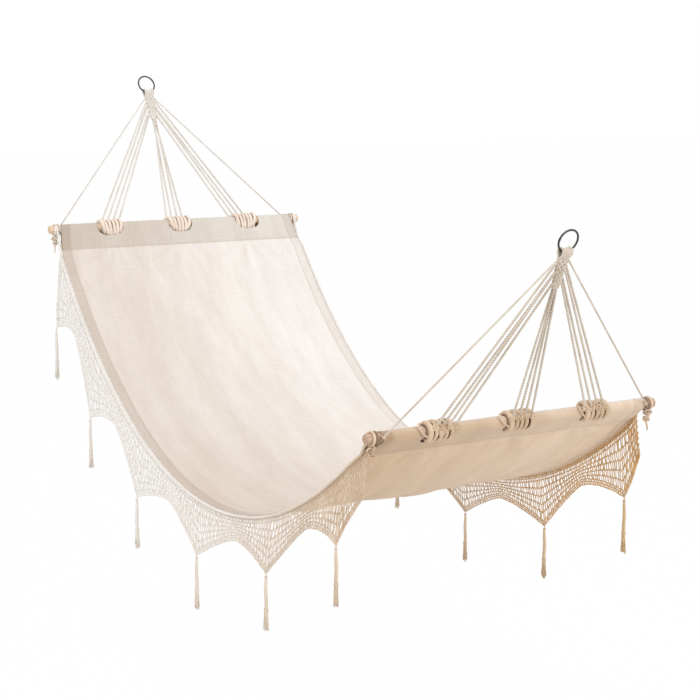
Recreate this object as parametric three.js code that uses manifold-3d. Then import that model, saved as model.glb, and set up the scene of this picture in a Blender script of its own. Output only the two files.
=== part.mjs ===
// Hammock with two spreader bars and fringed sides, hung from two rings, in millimetres.
// +X runs from the foot end to the head end, +Y to the front side of the bed, +Z up.
// The origin is half way between the centres of the two rings.
import * as THREE from 'three';
import Module from 'manifold-3d';
import { mergeVertices } from 'three/addons/utils/BufferGeometryUtils.js';

const wasm = await Module();
wasm.setup();

// How it hangs
const BAR_SPAN = 1720; // level distance between the axes of the two bars
const HEAD_RISE = 360; // height of the head bar over the foot bar
const BED_SLACK = 293; // how much longer the cloth is than the straight line between the bars
const CLEW_LENGTH = 480; // from a bar's axis to the centre of its ring
const HEAD_CLEW_ANGLE = THREE.MathUtils.degToRad(65); // above level
const FOOT_CLEW_ANGLE = THREE.MathUtils.degToRad(68);
const SEAT_GAP = 0.3; // between pieces that bear on each other

// Spreader bars
const BAR_LENGTH = 880;
const BAR_RADIUS = 12.5;
const BAR_END_ROUND = 4;
const BAR_SIDES = 16;

// Bed cloth
const BARE_END = 44; // of the bar, past the sleeve
const SLEEVE_WIDTH = BAR_LENGTH - 2 * BARE_END; // the cloth is ruched up along the bar
const RUCHING = 52; // how much wider the cloth is than its sleeves
const BED_WIDTH = SLEEVE_WIDTH + RUCHING;
const TAPER_END = 100; // along the cloth from the bar's axis to its full width
const CLOTH_THICK = 2;
const SLEEVE_DEPTH = 75; // from the bar's axis to the sleeve's seam
const NOTCH_WIDTH = 82;
const NOTCH_DEPTH = 34; // from the bar's axis to the notch's rounded end
const NOTCH_CORNER = 30;
const NOTCH_BENDS = 4; // in one corner
const BED_STEP = 44; // between the bends of the hanging cloth
const SLEEVE_BENDS = 12;
const CUT_PAST = 6; // how far a cutter runs past what it cuts

// Rings
const RING_RADIUS = 27.5; // to the middle of the wire
const RING_WIRE_RADIUS = 2.5;
const RING_STEPS = 32;
const RING_WIRE_SIDES = 8;

// Gathers, measured down the clew from the centre of the ring
const EYE_SLACK = 0.4; // between the cords and the ring, so that they can turn round it
const EYE_SIDE_ROOM = 4.5; // room beside the wire, for swinging
const EYE_DEPTH = 8.2;
const EYE_WALL = 4;
const EYE_CROWN = 6; // how far the rounded top rises over the walls
const GATHER_TOP_WIDTH = 32;
const GATHER_SHOULDER = 46;
const GATHER_END = 124;
const GATHER_END_WIDTH = 20;
const GATHER_END_THICK = 13;
const GATHER_STEPS = 6;
const EYE_BENDS = 5;

// Clew cords
const LEG_RADIUS = 2.75;
const LEG_PITCH = 20; // between the hitches of one group, along the bar
const LEGS_IN_GROUP = 4;
const GROUP_OFFSET = 238; // of the front and back groups from the bar's middle
const LAYER_GAP = 0.7; // between the two layers in which the legs leave the gather
const SIDE_LEG_EXIT = 108; // where the lowest leg of a side group leaves the gather
const SIDE_LEG_STEP = 15; // from there up to the next leg
const OUTER_CORD_RADIUS = 2.25;
const OUTER_CORD_EXIT = 49;
const OUTER_CORD_FROM_END = 32; // from the bar's end
const CORD_SIDES = 6;
const WRAP_TURN = THREE.MathUtils.degToRad(380); // how far a cord winds round the bar
const WRAP_STEPS = 13;
const WRAP_GAP = 0.4; // between the turns

// Edge cords, fringes and tassels
const EDGE_CORD_RADIUS = 3;
const EDGE_CORD_DROP = 4; // of its middle under the cloth's edge
const EDGE_CORD_START = 60; // along the cloth from the bar's axis
const EDGE_CORD_STEPS = 9; // on each stretch of the side
const EDGE_KNOT_FROM_END = 20;
const FRINGE_THICK = 2.4;
const FRINGE_START = 35; // along the cloth from the bar's axis
const FRINGE_LEAN = 0.17; // how far it hangs outward for each step down
const FRINGE_HEADING = 20; // the dense rows along the edge
const FRINGE_COLUMN = 52;
const FRINGE_BORDER = 9; // under the lowest gap
const FRINGE_TIP = 145; // width at a scallop's point, square to the edge
const FRINGE_VALLEY = 68; // width half way between two points
const SCALLOPS = 6;
const TIP_FROM_FOOT = 140; // along the cloth from the bar's axis to the first point
const TIP_FROM_HEAD = 70;
const SCALLOP_BEND = 1.5; // power of the curve from valley to point
const SCALLOP_STEPS = 2; // in one column
const NET_GAP_WIDTH = 27;
const NET_GAP_HEIGHT = 34;
const NET_BAR = 8; // between two gaps of one column
const NET_HALF_GAP = 13; // the short gap that starts every other column
const TASSEL_LENGTH = 150;
const TASSEL_KNOT_RADIUS = 5.5;
const TASSEL_STEM_RADIUS = 4;
const TASSEL_BAND_RADIUS = 6;
const TASSEL_BAND_TOP = 84; // below the knot's centre
const TASSEL_BAND_HEIGHT = 10;
const TASSEL_TUFT_RADIUS = 8;
const TASSEL_TUFT_ROUND = 4;
const TASSEL_SIDES = 6;

// Materials
const cotton = (name, color, roughness) =>
  new THREE.MeshStandardMaterial({ name, color, roughness, metalness: 0 });
const canvas = cotton('cotton canvas', 0xe3d6c6, 0.9);
const cord = cotton('cotton cord', 0xd3c4b0, 0.9);
const crochet = cotton('crochet cotton', 0xe0cfb8, 0.92);
const wood = cotton('pale wood', 0xd2b48c, 0.6);
const steel = new THREE.MeshStandardMaterial({
  name: 'dark steel', color: 0x3a3d3c, roughness: 0.35, metalness: 1,
});

// The two ends, in the plane of the bars' middles, with outward the way from bed to ring
function hangingEnd(name, sign, angle) {
  const bar = new THREE.Vector3(sign * BAR_SPAN / 2, 0, sign * HEAD_RISE / 2);
  const up = new THREE.Vector3(sign * Math.cos(angle), 0, Math.sin(angle));
  const ring = bar.clone().addScaledVector(up, CLEW_LENGTH);
  const normal = new THREE.Vector3(sign * Math.sin(angle), 0, -Math.cos(angle));
  return { name, sign, bar, up, ring, normal };
}
const head = hangingEnd('head', 1, HEAD_CLEW_ANGLE);
const foot = hangingEnd('foot', -1, FOOT_CLEW_ANGLE);
const ends = [foot, head];
const middle = head.ring.clone().add(foot.ring).multiplyScalar(0.5);
for (const end of ends) {
  end.bar.sub(middle);
  end.ring.sub(middle);
}

// The bed hangs as a chain does: z = sag * cosh((x - lowX) / sag) + base
const BED_LENGTH = Math.hypot(BAR_SPAN, HEAD_RISE) + BED_SLACK;
const SAG_ROUNDS = 30; // of Newton's method, which starts from the first terms of the series
function chainSag() {
  const stretch = Math.sqrt(BED_LENGTH ** 2 - HEAD_RISE ** 2) / BAR_SPAN;
  let half = Math.sqrt(6 * (stretch - 1));
  for (let i = 0; i < SAG_ROUNDS; i++) {
    half -= (Math.sinh(half) - stretch * half) / (Math.cosh(half) - stretch);
  }
  return BAR_SPAN / (2 * half);
}
const sag = chainSag();
const tilt = Math.asinh(HEAD_RISE / (2 * sag * Math.sinh(BAR_SPAN / (2 * sag))));
const lowX = (head.bar.x + foot.bar.x) / 2 - sag * tilt;
const base = foot.bar.z - sag * Math.cosh((foot.bar.x - lowX) / sag);
const footSinh = Math.sinh((foot.bar.x - lowX) / sag);

const chainX = (along) => lowX + sag * Math.asinh(along / sag + footSinh);
const chainZ = (x) => sag * Math.cosh((x - lowX) / sag) + base;
const slopeCos = (x) => 1 / Math.cosh((x - lowX) / sag);

// A place on the side view of the cloth, at a distance along it and square out from its middle
function clothPoint(along, out) {
  const x = chainX(along);
  const lean = Math.atan(Math.sinh((x - lowX) / sag));
  return new THREE.Vector2(x - out * Math.sin(lean), chainZ(x) + out * Math.cos(lean));
}

// Half of the cloth's width, which opens out evenly from each bar
const openAt = [TAPER_END, BED_LENGTH - TAPER_END];
const pastSleeve = BAR_RADIUS + 2 * CLOTH_THICK;
const openX = [
  foot.bar.x - pastSleeve, ...openAt.map(chainX), head.bar.x + pastSleeve,
];
function halfWidth(x) {
  const fromFoot = THREE.MathUtils.clamp((x - openX[0]) / (openX[1] - openX[0]), 0, 1);
  const fromHead = THREE.MathUtils.clamp((openX[3] - x) / (openX[3] - openX[2]), 0, 1);
  return THREE.MathUtils.lerp(SLEEVE_WIDTH, BED_WIDTH, Math.min(fromFoot, fromHead)) / 2;
}

// Places along the cloth about a step apart, with the places where its width bends among them
function stations(from, to, step) {
  const marks = [from, ...openAt.filter((at) => at > from && at < to), to];
  const places = [from];
  for (let i = 1; i < marks.length; i++) {
    const count = Math.max(1, Math.round((marks[i] - marks[i - 1]) / step));
    for (let j = 1; j <= count; j++) {
      places.push(THREE.MathUtils.lerp(marks[i - 1], marks[i], j / count));
    }
  }
  return places;
}

// A closed sheet from flat panels of its side view, between two faces of a stated y each.
// Panels that share an edge are joined there, and every other edge gets a wall.
function sheetGeometry(panels, nearY, farY) {
  const places = [];
  const indexOf = new Map();
  const place = (point) => {
    const key = point.x + ',' + point.y;
    if (!indexOf.has(key)) {
      indexOf.set(key, places.length);
      places.push(point);
    }
    return indexOf.get(key);
  };
  const faces = [];
  for (const { outline, holes } of panels) {
    const points = [outline, ...holes].flat();
    for (const face of THREE.ShapeUtils.triangulateShape(outline, holes)) {
      const corners = face.map((i) => points[i]);
      const order = THREE.ShapeUtils.area(corners) > 0 ? corners : corners.reverse();
      faces.push(order.map(place));
    }
  }
  const borders = new Set(faces.flatMap(([a, b, c]) => [a + '>' + b, b + '>' + c, c + '>' + a]));
  const count = places.length;
  const index = [];
  for (const [a, b, c] of faces) {
    index.push(a, b, c, a + count, c + count, b + count);
    for (const [from, to] of [[a, b], [b, c], [c, a]]) {
      if (!borders.has(to + '>' + from)) {
        index.push(from, to + count, to, from, from + count, to + count);
      }
    }
  }
  const near = places.flatMap((p) => [p.x, nearY(p), p.y]);
  const far = places.flatMap((p) => [p.x, farY(p), p.y]);
  const geometry = new THREE.BufferGeometry();
  geometry.setAttribute('position', new THREE.Float32BufferAttribute([...near, ...far], 3));
  geometry.setIndex(index);
  return geometry;
}

function solidFrom(geometry) {
  const bare = geometry.clone();
  bare.deleteAttribute('normal');
  bare.deleteAttribute('uv');
  const merged = mergeVertices(bare);
  return new wasm.Manifold(new wasm.Mesh({
    numProp: 3,
    vertProperties: new Float32Array(merged.attributes.position.array),
    triVerts: new Uint32Array(merged.index.array),
  }));
}

function geometryFrom(solid) {
  const { vertProperties, triVerts } = solid.getMesh();
  const geometry = new THREE.BufferGeometry();
  geometry.setAttribute('position', new THREE.Float32BufferAttribute(vertProperties, 3));
  geometry.setIndex([...triVerts]);
  return geometry;
}

// A line through chosen places, each of which a tube along it gets a section at
class Route extends THREE.Curve {
  constructor(places) {
    super();
    this.places = places;
  }
  getPoint(share, target = new THREE.Vector3()) {
    const at = share * (this.places.length - 1);
    const i = Math.min(Math.floor(at), this.places.length - 2);
    return target.lerpVectors(this.places[i], this.places[i + 1], at - i);
  }
  getTangent(share, target = new THREE.Vector3()) {
    const i = Math.round(share * (this.places.length - 1));
    const here = this.places[i];
    const before = this.places[Math.max(i - 1, 0)].clone().sub(here).normalize();
    const after = this.places[Math.min(i + 1, this.places.length - 1)].clone().sub(here).normalize();
    return target.subVectors(after, before).normalize();
  }
  getUtoTmapping(share) {
    return share;
  }
}

function circle(radius, sides) {
  const places = [];
  for (let i = 0; i < sides; i++) {
    const angle = 2 * Math.PI * i / sides;
    places.push(new THREE.Vector2(radius * Math.cos(angle), radius * Math.sin(angle)));
  }
  return new THREE.Shape(places);
}

function tubeGeometry(places, radius) {
  return new THREE.ExtrudeGeometry(circle(radius, CORD_SIDES), {
    steps: places.length - 1, extrudePath: new Route(places), bevelEnabled: false,
  });
}

const hammock = new THREE.Group();
function add(name, geometry, material) {
  const mesh = new THREE.Mesh(geometry, material);
  mesh.name = name;
  hammock.add(mesh);
  return mesh;
}

// Spreader bars: round rods with rounded ends
function spreaderBar(end) {
  const half = BAR_LENGTH / 2;
  const neck = BAR_RADIUS - BAR_END_ROUND;
  const ease = BAR_END_ROUND * (1 - Math.SQRT1_2);
  const geometry = new THREE.LatheGeometry([
    new THREE.Vector2(0, -half),
    new THREE.Vector2(neck, -half),
    new THREE.Vector2(BAR_RADIUS - ease, -half + ease),
    new THREE.Vector2(BAR_RADIUS, -half + BAR_END_ROUND),
    new THREE.Vector2(BAR_RADIUS, half - BAR_END_ROUND),
    new THREE.Vector2(BAR_RADIUS - ease, half - ease),
    new THREE.Vector2(neck, half),
    new THREE.Vector2(0, half),
  ], BAR_SIDES);
  add(end.name + '_spreader_bar', geometry, wood).position.copy(end.bar);
}

// Rings: a wire hoop in the plane of its clew, with one flat of the wire where the hook bears
function ring(end) {
  const profile = [];
  for (let i = 0; i <= RING_WIRE_SIDES; i++) {
    const angle = 2 * Math.PI * ((i % RING_WIRE_SIDES) + 0.5) / RING_WIRE_SIDES;
    profile.push(new THREE.Vector2(
      RING_RADIUS + RING_WIRE_RADIUS * Math.cos(angle),
      RING_WIRE_RADIUS * Math.sin(angle),
    ));
  }
  const geometry = new THREE.LatheGeometry(profile, RING_STEPS, -Math.PI / RING_STEPS);
  const mesh = add(end.name + '_ring', geometry, steel);
  const across = new THREE.Vector3().crossVectors(end.normal, end.up);
  mesh.quaternion.setFromRotationMatrix(
    new THREE.Matrix4().makeBasis(across, end.normal, end.up),
  );
  mesh.position.copy(end.ring);
}

// Gathers: the clew cords woven into a flat tapered column whose eye goes round the ring.
// Its side view is drawn down the clew, and the eye is bent to the ring's own curve.
const eyeTop = RING_RADIUS - RING_WIRE_RADIUS - EYE_SLACK - SEAT_GAP;
const eyeHalf = RING_WIRE_RADIUS + EYE_SIDE_ROOM;
function gatherHalfWidth(down) {
  const share = (down - eyeTop) / (GATHER_END - eyeTop);
  return THREE.MathUtils.lerp(GATHER_TOP_WIDTH, GATHER_END_WIDTH, share) / 2;
}

function gather(end) {
  const shoulder = eyeHalf + EYE_WALL;
  const outline = [];
  for (let i = 0; i <= EYE_BENDS; i++) {
    const angle = Math.PI * i / EYE_BENDS;
    outline.push(new THREE.Vector2(
      shoulder * Math.cos(angle),
      eyeTop + EYE_WALL / 2 - EYE_CROWN * Math.sin(angle),
    ));
  }
  outline.push(new THREE.Vector2(-shoulder, GATHER_SHOULDER));
  outline.push(new THREE.Vector2(-GATHER_END_THICK / 2, GATHER_END));
  outline.push(new THREE.Vector2(GATHER_END_THICK / 2, GATHER_END));
  outline.push(new THREE.Vector2(shoulder, GATHER_SHOULDER));
  const shape = new THREE.Shape(outline);
  shape.holes.push(new THREE.Path([
    new THREE.Vector2(eyeHalf, eyeTop),
    new THREE.Vector2(eyeHalf, eyeTop + EYE_DEPTH),
    new THREE.Vector2(-eyeHalf, eyeTop + EYE_DEPTH),
    new THREE.Vector2(-eyeHalf, eyeTop),
  ]));
  const geometry = new THREE.ExtrudeGeometry(shape, {
    depth: 1, steps: GATHER_STEPS, bevelEnabled: false,
  });
  const spots = geometry.attributes.position;
  for (let i = 0; i < spots.count; i++) {
    const out = spots.getX(i);
    const down = spots.getY(i);
    const y = (2 * spots.getZ(i) - 1) * gatherHalfWidth(down);
    const bend = down > GATHER_SHOULDER - SEAT_GAP ? 0 : eyeTop - Math.sqrt(eyeTop ** 2 - y ** 2);
    const spot = end.ring.clone()
      .addScaledVector(end.up, bend - down)
      .addScaledVector(end.normal, out);
    spots.setXYZ(i, spot.x, y, spot.z);
  }
  if (end.sign < 0) {
    geometry.setIndex([...Array(spots.count).keys()].reverse());
  }
  add(end.name + '_gather', geometry, cord);
}

// A cord that comes to a bar from a place and winds round it, away from the bar's middle.
// The corners stand out a little, so that the straight steps between them clear the bar.
function wrapPlaces(end, from, y, radius) {
  const step = WRAP_TURN / WRAP_STEPS;
  const reach = (BAR_RADIUS + SEAT_GAP + radius) / Math.cos(step / 2);
  const out = end.sign * (from.x - end.bar.x);
  const rise = from.z - end.bar.z;
  const first = Math.atan2(rise, out) - Math.acos(reach / Math.hypot(out, rise));
  const advance = Math.sign(y) * (2 * radius + WRAP_GAP) * step / (2 * Math.PI);
  const places = [];
  for (let i = 0; i <= WRAP_STEPS; i++) {
    const angle = first - i * step;
    places.push(new THREE.Vector3(
      end.bar.x + end.sign * reach * Math.cos(angle),
      y + i * advance,
      end.bar.z + reach * Math.sin(angle),
    ));
  }
  return places;
}

// One clew cord from where it leaves the gather, at a distance down it and a layer, to its hitch
function clewCord(end, name, down, side, layer, y, radius) {
  const start = end.ring.clone()
    .addScaledVector(end.up, -down)
    .addScaledVector(end.normal, layer);
  start.y = side;
  add(name, tubeGeometry([start, ...wrapPlaces(end, start, y, radius)], radius), cord);
}

function clewCords(end) {
  const layer = LEG_RADIUS + LAYER_GAP / 2;
  const sides = [['back', -1], ['middle', 0], ['front', 1]];
  for (const [sideName, side] of sides) {
    for (let i = 0; i < LEGS_IN_GROUP; i++) {
      const fromMiddle = (i - (LEGS_IN_GROUP - 1) / 2) * LEG_PITCH;
      const inLayer = i % 2 === 0 ? layer : -layer;
      const name = end.name + '_clew_' + sideName + '_leg_' + (i + 1);
      if (side === 0) {
        const y = fromMiddle;
        const lean = Math.atan2(Math.abs(y), CLEW_LENGTH - GATHER_END);
        const down = GATHER_END + SEAT_GAP + LEG_RADIUS * Math.sin(lean);
        clewCord(end, name, down, Math.sign(y) * layer, inLayer, y, LEG_RADIUS);
        continue;
      }
      const y = side * (GROUP_OFFSET + fromMiddle);
      const down = SIDE_LEG_EXIT - i * SIDE_LEG_STEP;
      const lean = Math.atan2(Math.abs(y) - gatherHalfWidth(down), CLEW_LENGTH - down);
      const start = side * (gatherHalfWidth(down) + SEAT_GAP + LEG_RADIUS * Math.cos(lean));
      clewCord(end, name, down, start, inLayer, y, LEG_RADIUS);
    }
    if (side !== 0) {
      const y = side * (BAR_LENGTH / 2 - OUTER_CORD_FROM_END);
      const half = gatherHalfWidth(OUTER_CORD_EXIT);
      const lean = Math.atan2(Math.abs(y) - half, CLEW_LENGTH - OUTER_CORD_EXIT);
      const start = side * (half + SEAT_GAP + OUTER_CORD_RADIUS * Math.cos(lean));
      const name = end.name + '_clew_' + sideName + '_outer_cord';
      clewCord(end, name, OUTER_CORD_EXIT, start, 0, y, OUTER_CORD_RADIUS);
    }
  }
}

// Side view of a sleeve: round the bar and straight to the seam, with the bar's room inside
function sleevePanel(end, upper, lower) {
  const seam = upper.clone().add(lower).multiplyScalar(0.5);
  const bar = new THREE.Vector2(end.bar.x, end.bar.z);
  const inner = BAR_RADIUS + SEAT_GAP;
  const outer = inner + CLOTH_THICK;
  const toSeam = seam.clone().sub(bar);
  const depth = toSeam.length();
  const closing = Math.asin(outer / Math.hypot(depth, CLOTH_THICK / 2))
    - Math.atan2(CLOTH_THICK / 2, depth);
  const facing = toSeam.angle();
  const around = (radius) => {
    const places = [];
    const half = Math.PI / 2 + closing;
    const reach = radius / Math.cos(half / SLEEVE_BENDS);
    for (let i = 0; i <= SLEEVE_BENDS; i++) {
      const edge = i === 0 || i === SLEEVE_BENDS;
      const angle = facing + Math.PI - half + 2 * half * i / SLEEVE_BENDS;
      places.push(bar.clone().add(
        new THREE.Vector2(Math.cos(angle), Math.sin(angle)).multiplyScalar(edge ? radius : reach),
      ));
    }
    return places;
  };
  const tip = bar.clone().addScaledVector(toSeam.normalize(), inner / Math.sin(closing));
  const [first, last] = end.sign > 0 ? [upper, lower] : [lower, upper];
  return { outline: [first, last, ...around(outer)], holes: [[tip, ...around(inner)]] };
}

// Bed cloth: one panel in its hanging shape, with a sleeve at each end and notches for hitches
function notchCutter(end, y) {
  const seamAt = end.sign > 0 ? BED_LENGTH - SLEEVE_DEPTH : SLEEVE_DEPTH;
  const seam = clothPoint(seamAt, 0);
  const along = new THREE.Vector3(seam.x - end.bar.x, 0, seam.y - end.bar.z).normalize();
  const across = new THREE.Vector3(0, 1, 0);
  const through = new THREE.Vector3().crossVectors(across, along);
  const past = BAR_RADIUS + SEAT_GAP + CLOTH_THICK + CUT_PAST;
  const half = NOTCH_WIDTH / 2;
  const shape = new THREE.Shape();
  shape.moveTo(-half, -past);
  shape.lineTo(half, -past);
  shape.lineTo(half, NOTCH_DEPTH - NOTCH_CORNER);
  shape.absarc(half - NOTCH_CORNER, NOTCH_DEPTH - NOTCH_CORNER, NOTCH_CORNER, 0, Math.PI / 2);
  shape.absarc(
    NOTCH_CORNER - half, NOTCH_DEPTH - NOTCH_CORNER, NOTCH_CORNER, Math.PI / 2, Math.PI,
  );
  const geometry = new THREE.ExtrudeGeometry(shape, {
    depth: 2 * past, bevelEnabled: false, curveSegments: NOTCH_BENDS,
  });
  geometry.applyMatrix4(new THREE.Matrix4().makeBasis(across, along, through)
    .setPosition(end.bar.clone().addScaledVector(through, -past).setY(y)));
  return solidFrom(geometry);
}

function bedCloth() {
  const places = stations(SLEEVE_DEPTH, BED_LENGTH - SLEEVE_DEPTH, BED_STEP);
  const upper = places.map((along) => clothPoint(along, CLOTH_THICK / 2));
  const lower = places.map((along) => clothPoint(along, -CLOTH_THICK / 2));
  const panels = [];
  for (let i = 1; i < places.length; i++) {
    panels.push({ outline: [lower[i - 1], lower[i], upper[i], upper[i - 1]], holes: [] });
  }
  panels.push(sleevePanel(foot, upper[0], lower[0]));
  panels.push(sleevePanel(head, upper[upper.length - 1], lower[lower.length - 1]));
  let solid = solidFrom(sheetGeometry(panels, (p) => -halfWidth(p.x), (p) => halfWidth(p.x)));
  for (const end of ends) {
    for (const y of [-GROUP_OFFSET, 0, GROUP_OFFSET]) {
      solid = solid.subtract(notchCutter(end, y));
    }
  }
  add('bed_cloth', geometryFrom(solid), canvas);
}

// Fringes: nets that hang from the cloth's edge, a little outward, with six points a side
const tipPitch = (BED_LENGTH - TIP_FROM_FOOT - TIP_FROM_HEAD) / (SCALLOPS - 1);
const tips = Array.from({ length: SCALLOPS }, (_, i) => TIP_FROM_FOOT + i * tipPitch);
function fringeWidth(along) {
  const inPitch = THREE.MathUtils.euclideanModulo(along - TIP_FROM_FOOT, tipPitch) / tipPitch;
  const fromValley = Math.abs(2 * inPitch - 1);
  return THREE.MathUtils.lerp(FRINGE_VALLEY, FRINGE_TIP, fromValley ** SCALLOP_BEND);
}

// The net's threads hang plumb in its side view, so it drops further where the edge is steep
function fringePoint(along, down) {
  const x = chainX(along);
  return new THREE.Vector2(x, chainZ(x) - down / slopeCos(x));
}

// How far a place on the net is from the cloth's middle, at a distance out from the edge
function fringeY(side, spot, out) {
  const down = (chainZ(spot.x) - spot.y) * slopeCos(spot.x);
  return side * (halfWidth(spot.x) + out + FRINGE_LEAN * down);
}

function fringeColumn(from, to, shifted) {
  const inner = tips.filter((tip) => tip > from && tip < to);
  for (let i = 1; i < SCALLOP_STEPS; i++) {
    inner.push(THREE.MathUtils.lerp(from, to, i / SCALLOP_STEPS));
  }
  const below = [from, ...inner.sort((a, b) => a - b), to];
  const outline = [fringePoint(to, 0), fringePoint(from, 0)];
  outline.push(...below.map((along) => fringePoint(along, fringeWidth(along))));
  const side = Math.max((to - from - NET_GAP_WIDTH) / 2, NET_BAR / 2);
  const left = from + side;
  const right = to - side;
  const deepest = Math.min(fringeWidth(left), fringeWidth(right)) - FRINGE_BORDER;
  const holes = [];
  let top = FRINGE_HEADING;
  let height = shifted ? NET_HALF_GAP : NET_GAP_HEIGHT;
  while (top + height < deepest) {
    holes.push([
      fringePoint(left, top),
      fringePoint(right, top),
      fringePoint(right, top + height),
      fringePoint(left, top + height),
    ]);
    top += height + NET_BAR;
    height = NET_GAP_HEIGHT;
  }
  return { outline, holes };
}

const netNear = SEAT_GAP; // out from the cloth's edge
const netFar = netNear + FRINGE_THICK;
function fringe(name, side) {
  const places = stations(FRINGE_START, BED_LENGTH - FRINGE_START, FRINGE_COLUMN);
  const panels = [];
  for (let i = 1; i < places.length; i++) {
    panels.push(fringeColumn(places[i - 1], places[i], i % 2 === 0));
  }
  const near = side > 0 ? netNear : netFar;
  const far = side > 0 ? netFar : netNear;
  const y = (out) => (spot) => fringeY(side, spot, out);
  add(name + '_fringe', sheetGeometry(panels, y(near), y(far)), crochet);
}

// Edge cords: along the outside of each fringe's heading and knotted round both bars
function edgeCord(name, side) {
  const step = (BED_LENGTH - 2 * EDGE_CORD_START) / (3 * EDGE_CORD_STEPS);
  const run = stations(EDGE_CORD_START, BED_LENGTH - EDGE_CORD_START, step).map((along) => {
    const spot = fringePoint(along, EDGE_CORD_DROP);
    const here = halfWidth(spot.x);
    const opening = Math.max(
      Math.abs(halfWidth(spot.x + 1) - here), Math.abs(here - halfWidth(spot.x - 1)),
    );
    const stretch = Math.hypot(1, opening, FRINGE_LEAN);
    const out = netFar + (SEAT_GAP + EDGE_CORD_RADIUS) * stretch;
    return new THREE.Vector3(spot.x, fringeY(side, spot, out), spot.y);
  });
  const knotY = side * (BAR_LENGTH / 2 - EDGE_KNOT_FROM_END);
  const footKnot = wrapPlaces(foot, run[0], knotY, EDGE_CORD_RADIUS).reverse();
  const headKnot = wrapPlaces(head, run[run.length - 1], knotY, EDGE_CORD_RADIUS);
  const places = [...footKnot, ...run, ...headKnot];
  add(name + '_edge_cord', tubeGeometry(places, EDGE_CORD_RADIUS), cord);
}

// Tassels: a knot under each point of the fringe, a stem, a bound band and a tuft
function tassel(name, side, along) {
  const tuftTop = TASSEL_BAND_TOP + TASSEL_BAND_HEIGHT;
  const lowest = TASSEL_LENGTH - TASSEL_KNOT_RADIUS;
  const knot = TASSEL_KNOT_RADIUS * Math.SQRT1_2;
  const geometry = new THREE.LatheGeometry([
    new THREE.Vector2(0, -lowest),
    new THREE.Vector2(TASSEL_TUFT_RADIUS - TASSEL_TUFT_ROUND, -lowest),
    new THREE.Vector2(TASSEL_TUFT_RADIUS, TASSEL_TUFT_ROUND - lowest),
    new THREE.Vector2(TASSEL_STEM_RADIUS, -tuftTop),
    new THREE.Vector2(TASSEL_BAND_RADIUS, -tuftTop),
    new THREE.Vector2(TASSEL_BAND_RADIUS, -TASSEL_BAND_TOP),
    new THREE.Vector2(TASSEL_STEM_RADIUS, -TASSEL_BAND_TOP),
    new THREE.Vector2(TASSEL_STEM_RADIUS, -TASSEL_KNOT_RADIUS),
    new THREE.Vector2(TASSEL_KNOT_RADIUS, 0),
    new THREE.Vector2(knot, knot),
    new THREE.Vector2(0, TASSEL_KNOT_RADIUS),
  ], TASSEL_SIDES);
  geometry.rotateX(Math.PI / 2);
  const tip = fringePoint(along, fringeWidth(along));
  add(name, geometry, crochet).position.set(
    tip.x,
    fringeY(side, tip, (netNear + netFar) / 2),
    tip.y - SEAT_GAP - TASSEL_KNOT_RADIUS,
  );
}

for (const end of ends) {
  spreaderBar(end);
  ring(end);
  gather(end);
  clewCords(end);
}
bedCloth();
for (const [name, side] of [['front', 1], ['back', -1]]) {
  fringe(name, side);
  edgeCord(name, side);
  tips.forEach((along, i) => tassel(name + '_tassel_' + (i + 1), side, along));
}

export default hammock;
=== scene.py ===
# %% [markdown]
# # A fringed hammock on two spreader bars
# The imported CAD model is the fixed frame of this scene: it says where each piece is and what it
# moves with. Every plain solid is then replaced by a piece with the form of the real one: woven
# cloth, twisted cord, crocheted net, turned wood and bent wire. Lengths are in metres, +X runs
# from foot to head and +Z is up.

# %% Load the frame
import math

import bpy
import numpy as np
from mathutils import Matrix, Vector, noise


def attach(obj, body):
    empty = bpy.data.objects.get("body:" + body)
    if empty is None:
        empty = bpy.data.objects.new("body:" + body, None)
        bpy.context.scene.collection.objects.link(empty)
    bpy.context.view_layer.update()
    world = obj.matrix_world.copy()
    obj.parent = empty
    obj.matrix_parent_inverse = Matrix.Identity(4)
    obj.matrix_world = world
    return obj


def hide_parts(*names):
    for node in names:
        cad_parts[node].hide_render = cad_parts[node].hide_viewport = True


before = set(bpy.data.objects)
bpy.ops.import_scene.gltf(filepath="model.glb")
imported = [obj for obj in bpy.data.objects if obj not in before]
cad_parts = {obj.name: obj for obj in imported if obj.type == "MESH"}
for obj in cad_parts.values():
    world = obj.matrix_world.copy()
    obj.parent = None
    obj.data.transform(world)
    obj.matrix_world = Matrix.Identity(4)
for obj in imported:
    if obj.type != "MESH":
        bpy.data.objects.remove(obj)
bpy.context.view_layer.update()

# %% [markdown]
# ## The camera
# The photograph looks along the hammock from beside its foot end, a little from above. The lens
# and the place were found by matching the bars, the rings and the edges of the bed, so the
# camera is written down as numbers and isn't tuned by eye.

# %% Camera
CAMERA_PLACE = (-4.2473, 2.6976, 0.1894)
CAMERA_YAW, CAMERA_PITCH = -0.5813, -0.1475
LENS, SENSOR_WIDTH = 93.5, 36
camera_data = bpy.data.cameras.new("camera")
camera_data.lens, camera_data.sensor_width = LENS, SENSOR_WIDTH
camera = bpy.data.objects.new("camera", camera_data)
ahead = Vector((math.cos(CAMERA_YAW) * math.cos(CAMERA_PITCH),
                math.sin(CAMERA_YAW) * math.cos(CAMERA_PITCH), math.sin(CAMERA_PITCH)))
camera.location = CAMERA_PLACE
camera.rotation_euler = ahead.to_track_quat("-Z", "Y").to_euler()
bpy.context.scene.collection.objects.link(camera)
bpy.context.scene.camera = camera
print("the camera looks along", [round(c, 3) for c in ahead])

# %% [markdown]
# ## Where things hang
# The sizes are those of the CAD source. The bed hangs as a chain does, so a place on it is
# given by how far it is along the cloth from the axis of the foot bar.

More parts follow.
